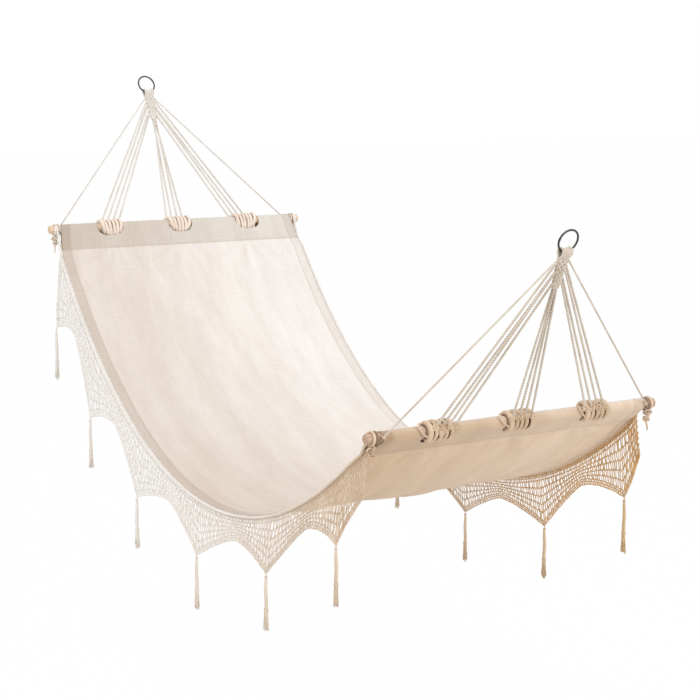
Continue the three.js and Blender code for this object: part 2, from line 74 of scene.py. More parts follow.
# %% Sizes and the two ends
BAR_SPAN, HEAD_RISE, BED_SLACK, CLEW_LENGTH = 1.720, 0.360, 0.293, 0.480
BAR_LENGTH, BAR_RADIUS = 0.880, 0.0125
BED_WIDTH, SLEEVE_WIDTH, TAPER_END, SLEEVE_DEPTH = 0.844, 0.792, 0.100, 0.075
SEAT = 0.0003
ACROSS = np.array((0.0, 1.0, 0.0))


class End:
    """One end of the hammock: its bar, its ring and the directions of its clew."""

    def __init__(self, name, sign, angle):
        self.name, self.sign = name, sign
        self.up = np.array((sign * math.cos(angle), 0, math.sin(angle)))
        self.normal = np.array((sign * math.sin(angle), 0, -math.cos(angle)))
        self.bar = np.array((sign * BAR_SPAN / 2, 0, sign * HEAD_RISE / 2))
        self.ring = self.bar + CLEW_LENGTH * self.up

    def clew_place(self, down, out, beside):
        """Places down the clew from the ring, out of its plane and beside its middle."""
        down, out, beside = (np.asarray(v, float)[..., None] for v in (down, out, beside))
        return self.ring - down * self.up + out * self.normal + beside * ACROSS


foot, head = End("foot", -1, math.radians(68)), End("head", 1, math.radians(65))
middle = (foot.ring + head.ring) / 2
for end in (foot, head):
    end.bar, end.ring = end.bar - middle, end.ring - middle
    print(end.name, "bar", np.round(end.bar, 4), "ring", np.round(end.ring, 4))

# %% Helpers for lines
def unit(v):
    return v / np.linalg.norm(v, axis=-1, keepdims=True)


def run_along(points):
    """How far along its line each point is; there may be one line or a row of lines."""
    steps = np.linalg.norm(np.diff(points, axis=-2), axis=-1)
    return np.concatenate([np.zeros_like(steps[..., :1]), np.cumsum(steps, axis=-1)], -1)


def on_line(at, run, points):
    """Places on a line, given by how far along it they are."""
    return np.stack([np.interp(at, run, column) for column in points.T], -1)


# %% The hanging line
BED_LENGTH = math.hypot(BAR_SPAN, HEAD_RISE) + BED_SLACK
stretch = math.sqrt(BED_LENGTH ** 2 - HEAD_RISE ** 2) / BAR_SPAN
half = math.sqrt(6 * (stretch - 1))
for _ in range(30):
    half -= (math.sinh(half) - stretch * half) / (math.cosh(half) - stretch)
sag = BAR_SPAN / (2 * half)
low_x = (head.bar[0] + foot.bar[0]) / 2 - sag * math.asinh(
    HEAD_RISE / (2 * sag * math.sinh(BAR_SPAN / (2 * sag))))
base = foot.bar[2] - sag * math.cosh((foot.bar[0] - low_x) / sag)
foot_sinh = math.sinh((foot.bar[0] - low_x) / sag)


def chain_x(along):
    return low_x + sag * np.arcsinh(np.asarray(along, float) / sag + foot_sinh)


def chain_z(x):
    return sag * np.cosh((x - low_x) / sag) + base


def cloth_point(along, out=0.0):
    """A place on the side view of the cloth, and square out from it."""
    x = chain_x(along)
    lean = np.arctan(np.sinh((x - low_x) / sag))
    return np.stack([x - out * np.sin(lean), chain_z(x) + out * np.cos(lean)], -1)


SLEEVE_PAST_BAR = 0.0165
OPEN_X = (foot.bar[0] - SLEEVE_PAST_BAR, *chain_x([TAPER_END, BED_LENGTH - TAPER_END]),
          head.bar[0] + SLEEVE_PAST_BAR)


def half_width(x):
    from_foot = np.clip((x - OPEN_X[0]) / (OPEN_X[1] - OPEN_X[0]), 0, 1)
    from_head = np.clip((OPEN_X[3] - x) / (OPEN_X[3] - OPEN_X[2]), 0, 1)
    return (SLEEVE_WIDTH + (BED_WIDTH - SLEEVE_WIDTH) * np.minimum(from_foot, from_head)) / 2


print("the bed is", round(BED_LENGTH, 4), "long and hangs down to z",
      round(float(chain_z(low_x)), 4))

# %% [markdown]
# ## Materials
# All the cloth, cord and net is undyed cotton, and the effects they share are node groups: soft
# mottling, fine fibres, and for the canvas its weave and its stitches. Each group gives only
# values that change over the surface; the shaders stay in the materials.

# %% Small helpers for nodes
def colour(red, green, blue):
    """A screen colour, 0 to 255, as the linear colour that a shader takes."""
    linear = [c / 255 / 12.92 if c < 10.3 else ((c / 255 + 0.055) / 1.055) ** 2.4
              for c in (red, green, blue)]
    return (*linear, 1)


def fill(made, values):
    """Joins a node's inputs to sockets, or sets them."""
    for key, value in values.items():
        if isinstance(value, bpy.types.NodeSocket):
            made.id_data.links.new(value, made.inputs[key])
        else:
            made.inputs[key].default_value = value


def node(tree, kind, inputs=None, **settings):
    """Adds a node, sets it, and joins or fills its inputs."""
    made = tree.nodes.new("ShaderNode" + kind)
    for key, value in settings.items():
        setattr(made, key, value)
    fill(made, inputs or {})
    return made


def tree_of(*values):
    """The node tree that the sockets among some values are in."""
    return next(v.id_data for v in values if isinstance(v, bpy.types.NodeSocket))


def sums(operation, *values, clamp=False):
    """The result of one Math node."""
    return node(tree_of(*values), "Math", dict(enumerate(values)), operation=operation,
                use_clamp=clamp).outputs[0]


def step(value, low, high):
    """0 below low, 1 above high, and smooth between."""
    return node(tree_of(value), "MapRange", {0: value, 1: low, 2: high},
                interpolation_type="SMOOTHSTEP").outputs[0]


def below(value, low, high):
    """1 below low, 0 above high, and smooth between."""
    return sums("SUBTRACT", 1.0, step(value, low, high))


def mixed(share, first, second, way="MIX"):
    """Two colours, sockets or screen colours, mixed or multiplied as far as the share says."""
    pair = [colour(*v) if isinstance(v, tuple) else v for v in (first, second)]
    return node(tree_of(share, *pair), "Mix", {0: share, 6: pair[0], 7: pair[1]},
                data_type="RGBA", blend_type=way).outputs[2]


def split(place):
    return node(tree_of(place), "SeparateXYZ", {0: place}).outputs


def attribute(tree, name, output="Fac"):
    return node(tree, "Attribute", attribute_name=name).outputs[output]


def object_place(tree):
    return node(tree, "TexCoord").outputs["Object"]


def moved(place, scale, turn=0.0):
    return node(tree_of(place), "Mapping", {
        "Vector": place, "Rotation": (0, 0, turn), "Scale": scale}).outputs[0]


def clouds(place, scale=1.0, **settings):
    """The value of a Noise Texture node."""
    return node(tree_of(place), "TexNoise",
                {"Vector": place, "Scale": scale, **settings}).outputs[0]


def bumped(relief, strength):
    return node(tree_of(relief), "Bump", {
        "Strength": strength, "Distance": 1.0, "Height": relief}).outputs[0]


def new_material(name):
    """A material, its node tree and its shader."""
    material = bpy.data.materials.new(name)
    material.use_nodes = True
    return material, material.node_tree, material.node_tree.nodes["Principled BSDF"]


def new_group(name, inputs, outputs):
    """An empty node group with named sockets; returns its tree and its two end nodes."""
    tree = bpy.data.node_groups.new(name, "ShaderNodeTree")
    for way, sockets in (("INPUT", inputs), ("OUTPUT", outputs)):
        for socket, kind in sockets.items():
            tree.interface.new_socket(socket, in_out=way, socket_type="NodeSocket" + kind)
    return tree, tree.nodes.new("NodeGroupInput").outputs, tree.nodes.new("NodeGroupOutput")


def use_group(group, **inputs):
    made = tree_of(*inputs.values()).nodes.new("ShaderNodeGroup")
    made.node_tree = group
    fill(made, inputs)
    return made.outputs


# %% [markdown]
# ### Mottling and fibres
# Washed cotton is never one even colour. Mottling mixes two close colours in large soft patches
# and paints shade on what lies deep between strands. Fibres are a fine noise, drawn out along the
# yarn.

# %% Mottling group
mottling, start, result = new_group(
    "mottling", dict(Place="Vector", Light="Color", Dark="Color", Patches="Float", Depth="Float",
                     Deep="Color"), dict(Color="Color"))
patches = clouds(start["Place"], start["Patches"], Detail=4.0, Roughness=0.6)
blend = mixed(step(patches, 0.32, 0.68), start["Light"], start["Dark"])
# Where the groove share is 1 the colour is the painted groove shade.
fill(result, {"Color": mixed(start["Depth"], blend, start["Deep"])})

# %% Fibres group
fibres, start, result = new_group("fibres", dict(Place="Vector", Along="Float", Around="Float"),
                                  dict(Height="Float"))
parts = split(start["Place"])
drawn = node(fibres, "CombineXYZ", {0: sums("MULTIPLY", parts[0], start["Around"]),
                                    1: sums("MULTIPLY", parts[1], start["Along"])}).outputs[0]
fill(result, {"Height": clouds(drawn, Detail=3.0, Roughness=0.65)})
print("groups", [g.name for g in bpy.data.node_groups])

# %% [markdown]
# ### Weave and stitches
# Canvas is a plain weave: at each crossing either the lengthwise or the crosswise thread is on
# top. The product of two sines changes sign from crossing to crossing, which is just that
# pattern. A row of stitches is a thin line cut into dashes.

# %% Weave group
weave, start, result = new_group("weave", dict(Place="Vector", Threads="Float"),
                                 dict(Height="Float", Slubs="Float"))
parts = split(start["Place"])
turns = sums("MULTIPLY", start["Threads"], math.pi)
waves = [sums("SINE", sums("MULTIPLY", parts[i], turns)) for i in range(2)]
on_top = sums("MULTIPLY", *waves)
threads = [sums("MULTIPLY", sums("ABSOLUTE", wave), sums("MULTIPLY_ADD", on_top, lift, 0.6))
           for wave, lift in zip(waves, (0.4, -0.4))]
slubs = [clouds(moved(start["Place"], scale), Detail=2.0) for scale in ((330, 14, 1), (11, 300, 1))]
fill(result, {
    "Height": sums("MAXIMUM", *threads),
    "Slubs": sums("MULTIPLY_ADD", sums("ADD", *slubs), 1.6, -1.1, clamp=True)})

# %% Stitches group
STITCHES_PER_METRE = 250.0
stitches, start, result = new_group("stitches", dict(Across="Float", Along="Float"),
                                    dict(Thread="Float", Fold="Float"))
off_line = sums("ABSOLUTE", start["Across"])
dash = sums("LESS_THAN", sums("FRACT", sums("MULTIPLY", start["Along"], STITCHES_PER_METRE)), 0.62)
fill(result, {
    "Thread": sums("MULTIPLY", below(off_line, 0.0005, 0.0009), dash),
    "Fold": below(off_line, 0.0, 0.004)})

# %% [markdown]
# ### Canvas
# The top of the bed is washed cream, and its underside is painted a warmer tan for the shade it
# lies in, so there are two canvases made by one function. The cloth's UV map is in metres of flat
# cloth: U across and V along, so that weave, hems and seams follow the folds. The hems and
# sleeves are double cloth with a stitched line, and are painted a shade darker, as less light
# comes through them. Both canvases are painted a little darker with shade at the front side of
# the bed than at its back side, and the gaps of the weave and the dents beside the seams get
# painted shade too.

# %% Canvas materials
HEM, THREADS_PER_METRE, HALF_STEP = 0.032, 620.0, 0.0006
BESIDE_HEM, BESIDE_SEAM = 0.0025, 0.003
COTTON = {"Sheen Roughness": 0.5, "Specular IOR Level": 0.2}


def canvas_material(name, shades, thread, seams, turned=None):
    """Canvas with its hems and seams; turned gives the colours of painted shade where its attribute
    of painted shade is 1, and thread is the colour of the painted shade in the dents by the seams.

    Shades are a light and a dark one, each given at the back side of the bed and at its front side,
    which is painted darker as shade.
    """
    material, tree, shader = new_material(name)
    place = node(tree, "UVMap", uv_map="flat").outputs[0]
    across, along = split(place)[:2]
    to_hem = sums("SUBTRACT", BED_WIDTH / 2 - HEM, sums("ABSOLUTE", across))
    hem = below(to_hem, -HALF_STEP, HALF_STEP)
    past_foot_seam, past_head_seam = (sums("SUBTRACT", along, v) for v in seams)
    sleeve = sums("MAXIMUM", below(past_foot_seam, -HALF_STEP, HALF_STEP),
                  step(past_head_seam, -HALF_STEP, HALF_STEP))
    rows = [use_group(stitches, Across=sums("ADD", off, beside), Along=way)
            for off, beside, way in (
                (to_hem, BESIDE_HEM, along), (past_foot_seam, BESIDE_SEAM, across),
                (past_head_seam, -BESIDE_SEAM, across))]
    sewn, dent = (sums("MAXIMUM", rows[0][i], sums("MAXIMUM", rows[1][i], rows[2][i]))
                  for i in range(2))
    woven = use_group(weave, Place=place, Threads=THREADS_PER_METRE)
    # side runs from the back side of the bed to its front side, which is painted darker as shade.
    side = step(across, -0.42, 0.42)
    light, dark = (mixed(side, *pair) for pair in shades)
    # Where the attribute of painted shade is 1 the colours are the tan of painted shade.
    if turned:
        warm = attribute(tree, "warm")
        light, dark = (mixed(warm, shade, mixed(side, *pair))
                       for shade, pair in zip((light, dark), turned))
    shade = use_group(mottling, Place=moved(place, (2.6, 0.5, 1)), Light=light, Dark=dark,
                      Patches=5.0)[0]
    # The double cloth of the sleeves is painted darker, as less light comes through it: most at the
    # front side, and at the back side more towards the head.
    sleeve_shade_at_back = mixed(step(along, 0.5, 1.5), (248, 248, 249), (238, 236, 230))
    shade = mixed(sleeve, shade, mixed(side, sleeve_shade_at_back, (236, 234, 231)), "MULTIPLY")
    # The hems are painted darker the same way, more at the front side.
    hem_shade_share = sums("MULTIPLY_ADD", step(across, -0.02, 0.02), 0.4, 0.55)
    shade = mixed(sums("MULTIPLY", hem, hem_shade_share), shade, (235, 231, 227), "MULTIPLY")
    streak = sums("MULTIPLY_ADD", woven["Slubs"], -0.09, 1.03)
    # The gaps between the threads of the weave are painted darker as shade.
    weave_gap_shade = sums("MULTIPLY_ADD", woven["Height"], 0.10, 0.94)
    shade = mixed(1.0, shade, sums("MULTIPLY", streak, weave_gap_shade), "MULTIPLY")
    # The dents beside the seams get painted shade in the thread colour.
    shade = mixed(sums("MULTIPLY", dent, 0.22), shade, thread)
    shade = mixed(sewn, shade, (236, 228, 217))
    crumple = clouds(moved(place, (26, 15, 1), 0.5), Detail=3.0, Distortion=0.6)
    relief = sums("MULTIPLY", woven["Slubs"], 0.0005)
    for part, height in ((woven["Height"], 0.0004), (sums("MAXIMUM", hem, sleeve), 0.0007),
                         (dent, -0.0006), (sewn, 0.0006), (crumple, 0.0035)):
        relief = sums("MULTIPLY_ADD", part, height, relief)
    fill(shader, {"Base Color": shade, "Normal": bumped(relief, 0.8), "Roughness": 0.9,
                  "Sheen Weight": 0.25, **COTTON})
    return material


# %% [markdown]
# ### Cord and crochet yarn
# A cord's UV map goes round it and along it. Its grooves are an attribute, 0 on the crown of a
# ply and 1 in the groove, so the brown shade between the plies is painted where it belongs. The
# cords are painted paler and a little greyer at the head, which is lit, than at the foot, which
# lies in shade. A tone attribute paints the cotton cord darker with shade where it goes round the
# foot bar, and turns the crochet yarn from nearly white to tan with painted shade and to golden
# with painted light.

# %% Cord and yarn materials
def foot_shade_head_light(tree, at_foot, at_head):
    """A colour that changes from painted shade at the foot of the bed to painted light at its head.
    """
    along = split(object_place(tree))[0]
    return mixed(step(along, -0.6, 0.8), at_foot, at_head)


def shaded_foot_lit_head(*pairs):
    return lambda tree: [foot_shade_head_light(tree, *pair) for pair in pairs]


def by_tone(tree):
    """The crochet yarn's light, dark and groove shade: nearly white at tone 0, then tan as painted
    shade, then golden as painted light.
    """
    tone = attribute(tree, "tone")
    light, dark = (
        mixed(step(tone, 0.55, 1.0), mixed(step(tone, 0.0, 0.55), white, shaded_tan), backlit_golden)
        for white, shaded_tan, backlit_golden in (
            ((255, 253, 251), (231, 209, 184), (236, 198, 145)),
            ((252, 248, 244), (218, 192, 162), (217, 174, 117))))
    return light, dark, mixed(step(tone, 0.0, 0.5), (228, 219, 209), (150, 120, 92))


def cord_material(name, shades, bar_shade_colour=None):
    """Twisted cord; shades makes its light, dark and painted groove shade, and the last colour is
    its painted shade at tone 1.
    """
    material, tree, shader = new_material(name)
    light, dark, deep = shades(tree)
    shade = use_group(mottling, Place=object_place(tree), Light=light, Dark=dark, Patches=22.0,
                      Depth=step(attribute(tree, "groove"), 0.45, 1.0), Deep=deep)[0]
    place = node(tree, "UVMap", uv_map="yarn").outputs[0]
    hair = use_group(fibres, Place=place, Along=420.0, Around=14.0)[0]
    shade = mixed(1.0, shade, sums("MULTIPLY_ADD", hair, 0.22, 0.89), "MULTIPLY")
    # Painted shade where the cord goes round the foot bar, as far as its tone says.
    if bar_shade_colour:
        shade = mixed(attribute(tree, "tone"), shade, bar_shade_colour)
    fill(shader, {"Base Color": shade, "Normal": bumped(sums("MULTIPLY", hair, 0.0008), 0.7),
                  "Roughness": 0.92, "Sheen Weight": 0.3, **COTTON})
    return material


# Each pair goes from painted shade at the foot to painted light at the head.
cotton_cord = cord_material("cotton cord", shaded_foot_lit_head(
    ((228, 218, 205), (238, 233, 227)), ((211, 199, 183), (226, 220, 211)),
    ((152, 126, 102), (176, 158, 140))), bar_shade_colour=(132, 98, 68))
# The knotted cord is painted darkest at the foot, with deep brown painted shade in its grooves, as
# the foot knots are seen from their shaded side.
knot_cord = cord_material("knotted cord", shaded_foot_lit_head(
    ((229, 204, 178), (246, 234, 221)), ((208, 180, 151), (234, 217, 202)),
    ((82, 52, 30), (176, 130, 104))))
crochet_yarn = cord_material("crochet yarn", by_tone)

# %% [markdown]
# ### Wood and steel
# The bars are pale bare wood; the head one is painted lighter, as it is lit, and the foot one
# darker, with painted shade. Their grain is drawn out along the rod, so the pattern reads a place
# measured from each rod's own middle, kept on the mesh as an attribute. The rings are dark steel
# wire with fine scratches, which change the roughness more than the colour.

# %% Wood material
pale_wood, tree, shader = new_material("pale wood")
place = attribute(tree, "rod_place", "Vector")
years = clouds(moved(place, (90, 4, 90)), Detail=4.0, Distortion=0.8)
pores = clouds(moved(place, (900, 18, 900)), Detail=2.0)
grain = step(sums("FRACT", sums("MULTIPLY", years, 6.0)), 0.15, 0.95)
# The bars change from painted shade at the foot to painted light at the head.
shade = mixed(grain, foot_shade_head_light(tree, (203, 172, 150), (236, 211, 182)),
              foot_shade_head_light(tree, (182, 148, 126), (220, 190, 158)))
relief = sums("MULTIPLY_ADD", pores, 0.0003, sums("MULTIPLY", grain, 0.0002))
fill(shader, {"Base Color": mixed(step(pores, 0.58, 0.75), shade, (165, 126, 98)),
              "Roughness": sums("MULTIPLY_ADD", grain, 0.12, 0.5), "Normal": bumped(relief, 0.5)})

# %% Steel material
dark_steel, tree, shader = new_material("dark steel")
rub = clouds(object_place(tree), 260.0, Detail=5.0, Roughness=0.7)
fill(shader, {
    "Base Color": mixed(step(rub, 0.5, 0.72), (72, 76, 76), (118, 120, 118)),
    "Roughness": sums("MULTIPLY_ADD", rub, 0.3, 0.16), "Metallic": 1.0,
    "Normal": bumped(sums("MULTIPLY", rub, 0.0002), 0.4)})
print("materials", [m.name for m in (cotton_cord, knot_cord, crochet_yarn, pale_wood, dark_steel)])


# %% [markdown]
# ## Spreader bars
# Each bar is a turned rod with softened ends. A cylinder could be left as it is, but the light
# catches a real rod's rounded end, so the rim is bevelled and the end face is dressed in with a
# shallow inset. One rod is modelled at the origin and copied to both ends, each copy with its
# own mesh.

# %% Make one rod
def select_only(thing):
    bpy.ops.object.select_all(action="DESELECT")
    bpy.context.view_layer.objects.active = thing
    thing.select_set(True)


def edit(thing, kind, chosen):
    """Opens a mesh in edit mode with the chosen edges or faces selected."""
    select_only(thing)
    bpy.ops.object.mode_set(mode="EDIT")
    bpy.ops.mesh.select_mode(type=kind)
    bpy.ops.mesh.select_all(action="DESELECT")
    bpy.ops.object.mode_set(mode="OBJECT")
    for part in (thing.data.edges if kind == "EDGE" else thing.data.polygons):
        part.select = bool(chosen(part))
    bpy.ops.object.mode_set(mode="EDIT")


RIM_BEVEL, END_INSET = 0.004, 0.0035
bpy.ops.mesh.primitive_cylinder_add(vertices=48, radius=BAR_RADIUS, depth=BAR_LENGTH,
                                    rotation=(math.pi / 2, 0, 0))
rod = bpy.context.object
select_only(rod)
bpy.ops.object.transform_apply(location=True, rotation=True, scale=True)


def end_heights(edge):
    return [rod.data.vertices[i].co.y for i in edge.vertices]


edit(rod, "EDGE", lambda e: math.prod(end_heights(e)) > 0)
bpy.ops.mesh.bevel(offset=RIM_BEVEL, segments=5, affect="EDGES")
bpy.ops.object.mode_set(mode="OBJECT")
edit(rod, "FACE", lambda f: abs(f.normal.y) > 0.99)
bpy.ops.mesh.inset(thickness=END_INSET)
bpy.ops.transform.resize(value=(1, 0.9995, 1))
bpy.ops.object.mode_set(mode="OBJECT")
edit(rod, "EDGE", lambda e: np.ptp(end_heights(e)) > BAR_LENGTH / 2)
bpy.ops.mesh.subdivide(number_cuts=20)
bpy.ops.object.mode_set(mode="OBJECT")
bpy.ops.object.shade_smooth_by_angle(angle=math.radians(40))
kept = rod.data.attributes.new("rod_place", "FLOAT_VECTOR", "POINT")
kept.data.foreach_set("vector", [c for v in rod.data.vertices for c in v.co])
rod.data.materials.append(pale_wood)
print("rod", len(rod.data.polygons), "faces")


# %% Put a rod at each end
def copy_of(thing, name):
    made = thing.copy()
    made.data = thing.data.copy()
    made.name = made.data.name = name
    bpy.context.scene.collection.objects.link(made)
    return made


bars = {}
for end in (foot, head):
    bars[end.name] = copy_of(rod, end.name + "_bar")
    bars[end.name].data.transform(Matrix.Translation(end.bar))
    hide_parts(end.name + "_spreader_bar")
    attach(bars[end.name], "hammock")
bpy.data.objects.remove(rod)
print("bars", [bar.name for bar in bars.values()])

# %% [markdown]
# ## Rings
# A ring is steel wire bent round and welded. A torus has the right form, and the weld is a
# short stretch of the wire that is a little fatter. The ring stands in the plane of its clew,
# so its mesh is turned there and the object itself stays unturned.

# %% Make the rings
RING_RADIUS, WIRE_RADIUS = 0.0275, 0.0025
WELD_Y, WELD_HALF_LENGTH, WELD_PROUD = 0.004, 0.0022, 0.0003
bpy.ops.mesh.primitive_torus_add(major_segments=120, minor_segments=18,
                                 major_radius=RING_RADIUS, minor_radius=WIRE_RADIUS)
hoop = bpy.context.object
edit(hoop, "FACE", lambda f: f.center.x > 0 and abs(f.center.y - WELD_Y) < WELD_HALF_LENGTH)
bpy.ops.transform.shrink_fatten(value=WELD_PROUD)
bpy.ops.object.mode_set(mode="OBJECT")
bpy.ops.object.shade_smooth()
hoop.data.materials.append(dark_steel)
for end in (foot, head):
    ring = copy_of(hoop, end.name + "_hoop")
    turn = Matrix([(ACROSS[i], end.up[i], np.cross(ACROSS, end.up)[i]) for i in range(3)]).to_4x4()
    ring.data.transform(Matrix.Translation(end.ring) @ turn)
    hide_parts(end.name + "_ring")
    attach(ring, "rings")
bpy.data.objects.remove(hoop)
print("rings are", round(2 * (RING_RADIUS + WIRE_RADIUS), 3), "across")

# %% [markdown]
# ## Cloth of the bed
# The cloth is one strip. Its profile is drawn as one line: from the foot seam round the foot
# bar, down the hanging line, up to the head bar, round it and back to the head seam. Cloth
# simulation would find the same line more slowly, because a loaded strip between two bars is a
# chain. The folds are then moved into the mesh in code: gathered ripples along the sleeves,
# rays from the knots, and soft waves in the middle.

# %% The profile
CLOTH_THICK = 0.0015
CLOTH_ROUND = BAR_RADIUS + SEAT + CLOTH_THICK / 2 + 0.0002
TUCKED_IN, UNDER_SEAM = 0.010, -CLOTH_THICK * 1.2


def sleeve_profile(end):
    """Side view of a sleeve from its underside seam round the bar to its top seam."""
    seam_at = SLEEVE_DEPTH if end is foot else BED_LENGTH - SLEEVE_DEPTH
    tuck_at = seam_at - end.sign * TUCKED_IN
    seam, under = cloth_point(seam_at), cloth_point(seam_at, UNDER_SEAM)
    centre = end.bar[[0, 2]]
    to_seam = seam - centre
    facing = math.atan2(to_seam[1], to_seam[0])
    opening = math.acos(CLOTH_ROUND / np.linalg.norm(to_seam))
    turn = end.sign * np.linspace(math.pi * 2 - opening, opening, 40)
    around = centre + CLOTH_ROUND * np.stack([np.cos(facing - turn), np.sin(facing - turn)], -1)
    return np.concatenate([[cloth_point(tuck_at, UNDER_SEAM), under], around, [seam]])


foot_part, head_part = sleeve_profile(foot), sleeve_profile(head)[::-1]
hanging = cloth_point(np.linspace(SLEEVE_DEPTH, BED_LENGTH - SLEEVE_DEPTH, 700)[1:-1])
profile = np.concatenate([foot_part, hanging, head_part])
run = run_along(profile)
FLAT_LENGTH = float(run[-1])
SEAMS = (float(run[len(foot_part) - 1]), float(run[-len(head_part)]))
TURNS = (float(run[2] + run[len(foot_part) - 2]) / 2, float(run[-len(head_part) + 1] + run[-3]) / 2)
print("flat cloth", BED_WIDTH, "x", round(FLAT_LENGTH, 3), "seams at", np.round(SEAMS, 3))

# %% [markdown]
# The grid of the cloth is finer at the sleeves. Three rounded notches are cut in each sleeve
# for the knots: grid points close to a notch's outline are moved onto it, and what lies inside
# is left out, so the cut edge is smooth.

# %% Lay out the grid and cut the notches
GROUP_OFFSET, NOTCH_WIDTH, NOTCH_DEPTH, NOTCH_CORNER = 0.238, 0.082, 0.034, 0.030
NOTCH_HALF_LENGTH = (math.pi + 0.35) * CLOTH_ROUND / 2 + NOTCH_DEPTH - 0.003
FINE_REACH, FINE_STEP, SNAP_REACH = 0.100, 0.0042, 0.0032
fine_steps = np.arange(-FINE_REACH, FINE_REACH + 0.0001, FINE_STEP)
coarse_from = FINE_REACH + FINE_STEP
between = np.linspace(TURNS[0] + coarse_from, TURNS[1] - coarse_from, 276)
rows = np.concatenate([TURNS[0] + fine_steps, between, TURNS[1] + fine_steps])
rows = np.unique(np.clip(rows, 0, FLAT_LENGTH))
columns = np.linspace(-1, 1, 125)
at, share = (a.copy() for a in np.meshgrid(rows, columns, indexing="ij"))


def outside_notch(at, share):
    """Distance outside the nearest notch's outline, and less than 0 inside it."""
    best = np.full(at.shape, 9.0)
    for centre in TURNS:
        for y in (-GROUP_OFFSET, 0, GROUP_OFFSET):
            along = np.abs(at - centre) - NOTCH_HALF_LENGTH + NOTCH_CORNER
            beside = np.abs(share * SLEEVE_WIDTH / 2 - y) - NOTCH_WIDTH / 2 + NOTCH_CORNER
            far = (np.hypot(np.maximum(along, 0), np.maximum(beside, 0))
                   + np.minimum(np.maximum(along, beside), 0) - NOTCH_CORNER)
            best = np.minimum(best, far)
    return best


for _ in range(3):
    far = outside_notch(at, share)
    nudge = 1e-5
    slope_at = (outside_notch(at + nudge, share) - far) / nudge
    slope_share = (outside_notch(at, share + nudge) - far) / nudge
    near = np.abs(far) < SNAP_REACH
    size = np.where(near, slope_at ** 2 + (slope_share / (SLEEVE_WIDTH / 2)) ** 2, 1.0) + 1e-9
    at = np.where(near, at - far * slope_at / size, at)
    share = np.where(near, share - far * slope_share / (SLEEVE_WIDTH / 2) ** 2 / size, share)
at, share = np.clip(at, 0, FLAT_LENGTH), np.clip(share, -1, 1)
count = len(columns)
corner = np.arange(len(rows) * count).reshape(len(rows), count)
quads = np.stack([corner[:-1, :-1], corner[1:, :-1], corner[1:, 1:], corner[:-1, 1:]], -1)
quads = quads.reshape(-1, 4)
centre_at, centre_share = at.ravel()[quads].mean(1), share.ravel()[quads].mean(1)
quads = quads[outside_notch(centre_at, centre_share) > 0]
print("cloth grid", len(rows), "x", count, "with", len(quads), "faces left")


# %% [markdown]
# Every fold has a cause. The sleeves are ruched where 844 mm of cloth is pushed together on 792
# mm of bar. Rays run out from the knots, where the load comes in. The middle has long shallow
# waves and the foot end diagonal creases. All of them fade out towards the side edges, which
# the edge cords hold.

# %% Move the folds into the cloth
RIPPLE, RAY, WAVE, CREASE, CRUMPLE, BELLY = 0.0036, 0.0052, 0.006, 0.0022, 0.0008, 0.005


def noise_at(x, y, seed):
    flat = zip(np.ravel(x), np.ravel(y))
    return np.array([noise.noise(Vector((a, b, seed))) for a, b in flat]).reshape(np.shape(x))


along = at - SEAMS[0] + SLEEVE_DEPTH
flat_y = share * BED_WIDTH / 2
from_foot, from_head = along - SLEEVE_DEPTH, BED_LENGTH - SLEEVE_DEPTH - along
from_seam = np.minimum(from_foot, from_head)
open_cloth = np.clip(from_seam / 0.03, 0, 1)
fade = np.exp(-np.maximum(from_seam, 0) / 0.11)
ripple = np.abs(noise_at(flat_y / 0.017, along / 0.35, 3.0)) * RIPPLE
folds = ripple * fade * np.where(from_seam > 0, 1.0, 0.75)
for y in (-GROUP_OFFSET, 0, GROUP_OFFSET):
    reach = np.hypot(from_seam + 0.03, flat_y - y)
    angle = np.arctan2(flat_y - y, from_seam + 0.03)
    folds += open_cloth * RAY * np.exp(-reach / 0.17) * np.cos(11 * angle + 2 * noise_at(
        reach / 0.1, angle + y * 9, 5.0))
waves = (noise_at(flat_y / 0.085, along / 0.62, 11.0) * WAVE
         + noise_at(flat_y / 0.21, along / 0.4, 17.0) * WAVE)
creases = noise_at((flat_y + 0.55 * along) / 0.034, (along - 0.4 * flat_y) / 0.16, 23.0) * CREASE
crumples = noise_at(flat_y / 0.026, along / 0.04, 31.0) * CRUMPLE
settle = np.clip(from_seam / 0.22, 0, 1)
creases = creases * (0.35 + 0.65 * np.exp(-from_foot / 0.5))
folds += open_cloth * (waves * settle + creases + crumples)
belly = -BELLY * np.sin(np.pi * np.clip(along / BED_LENGTH, 0, 1)) * (1 - share ** 2)
held = 0.2 + 0.8 * np.clip((1 - np.abs(share)) / 0.09, 0, 1)
folds = np.where(from_seam < 0, np.maximum(folds, 0), folds * held + belly * settle)
print("folds from", round(float(folds.min()) * 1000, 1), "to",
      round(float(folds.max()) * 1000, 1), "mm")

# %% [markdown]
# The places come from the profile and the folds are added square to it. An attribute of painted
# shade turns the cream into tan where the cloth goes round a bar, and a little towards the foot.
# Solidify then gives the cloth its thickness, with the tan canvas of painted shade on the
# underside.

# %% Make the cloth
place = on_line(at, run, profile)
lean = unit(on_line(at, run, unit(np.gradient(profile, axis=0))))
x = place[..., 0] - lean[..., 1] * folds
z = place[..., 1] + lean[..., 0] * folds
cloth_points = np.stack([x, share * half_width(place[..., 0]), z], -1).reshape(-1, 3)


def mesh_piece(name, points, faces, uv_name, uvs, materials):
    """A piece at the origin from its points and faces, with a UV map given for each face corner."""
    mesh = bpy.data.meshes.new(name)
    mesh.from_pydata(points.tolist(), [], faces)
    mesh.uv_layers.new(name=uv_name).data.foreach_set("uv", np.asarray(uvs, float).ravel())
    mesh.shade_smooth()
    for material in materials:
        mesh.materials.append(material)
    piece = bpy.data.objects.new(name, mesh)
    bpy.context.scene.collection.objects.link(piece)
    return piece


used, quads = np.unique(quads, return_inverse=True)
quads = quads.reshape(-1, 4)
flat = np.stack([flat_y.ravel(), at.ravel()], -1)[used]
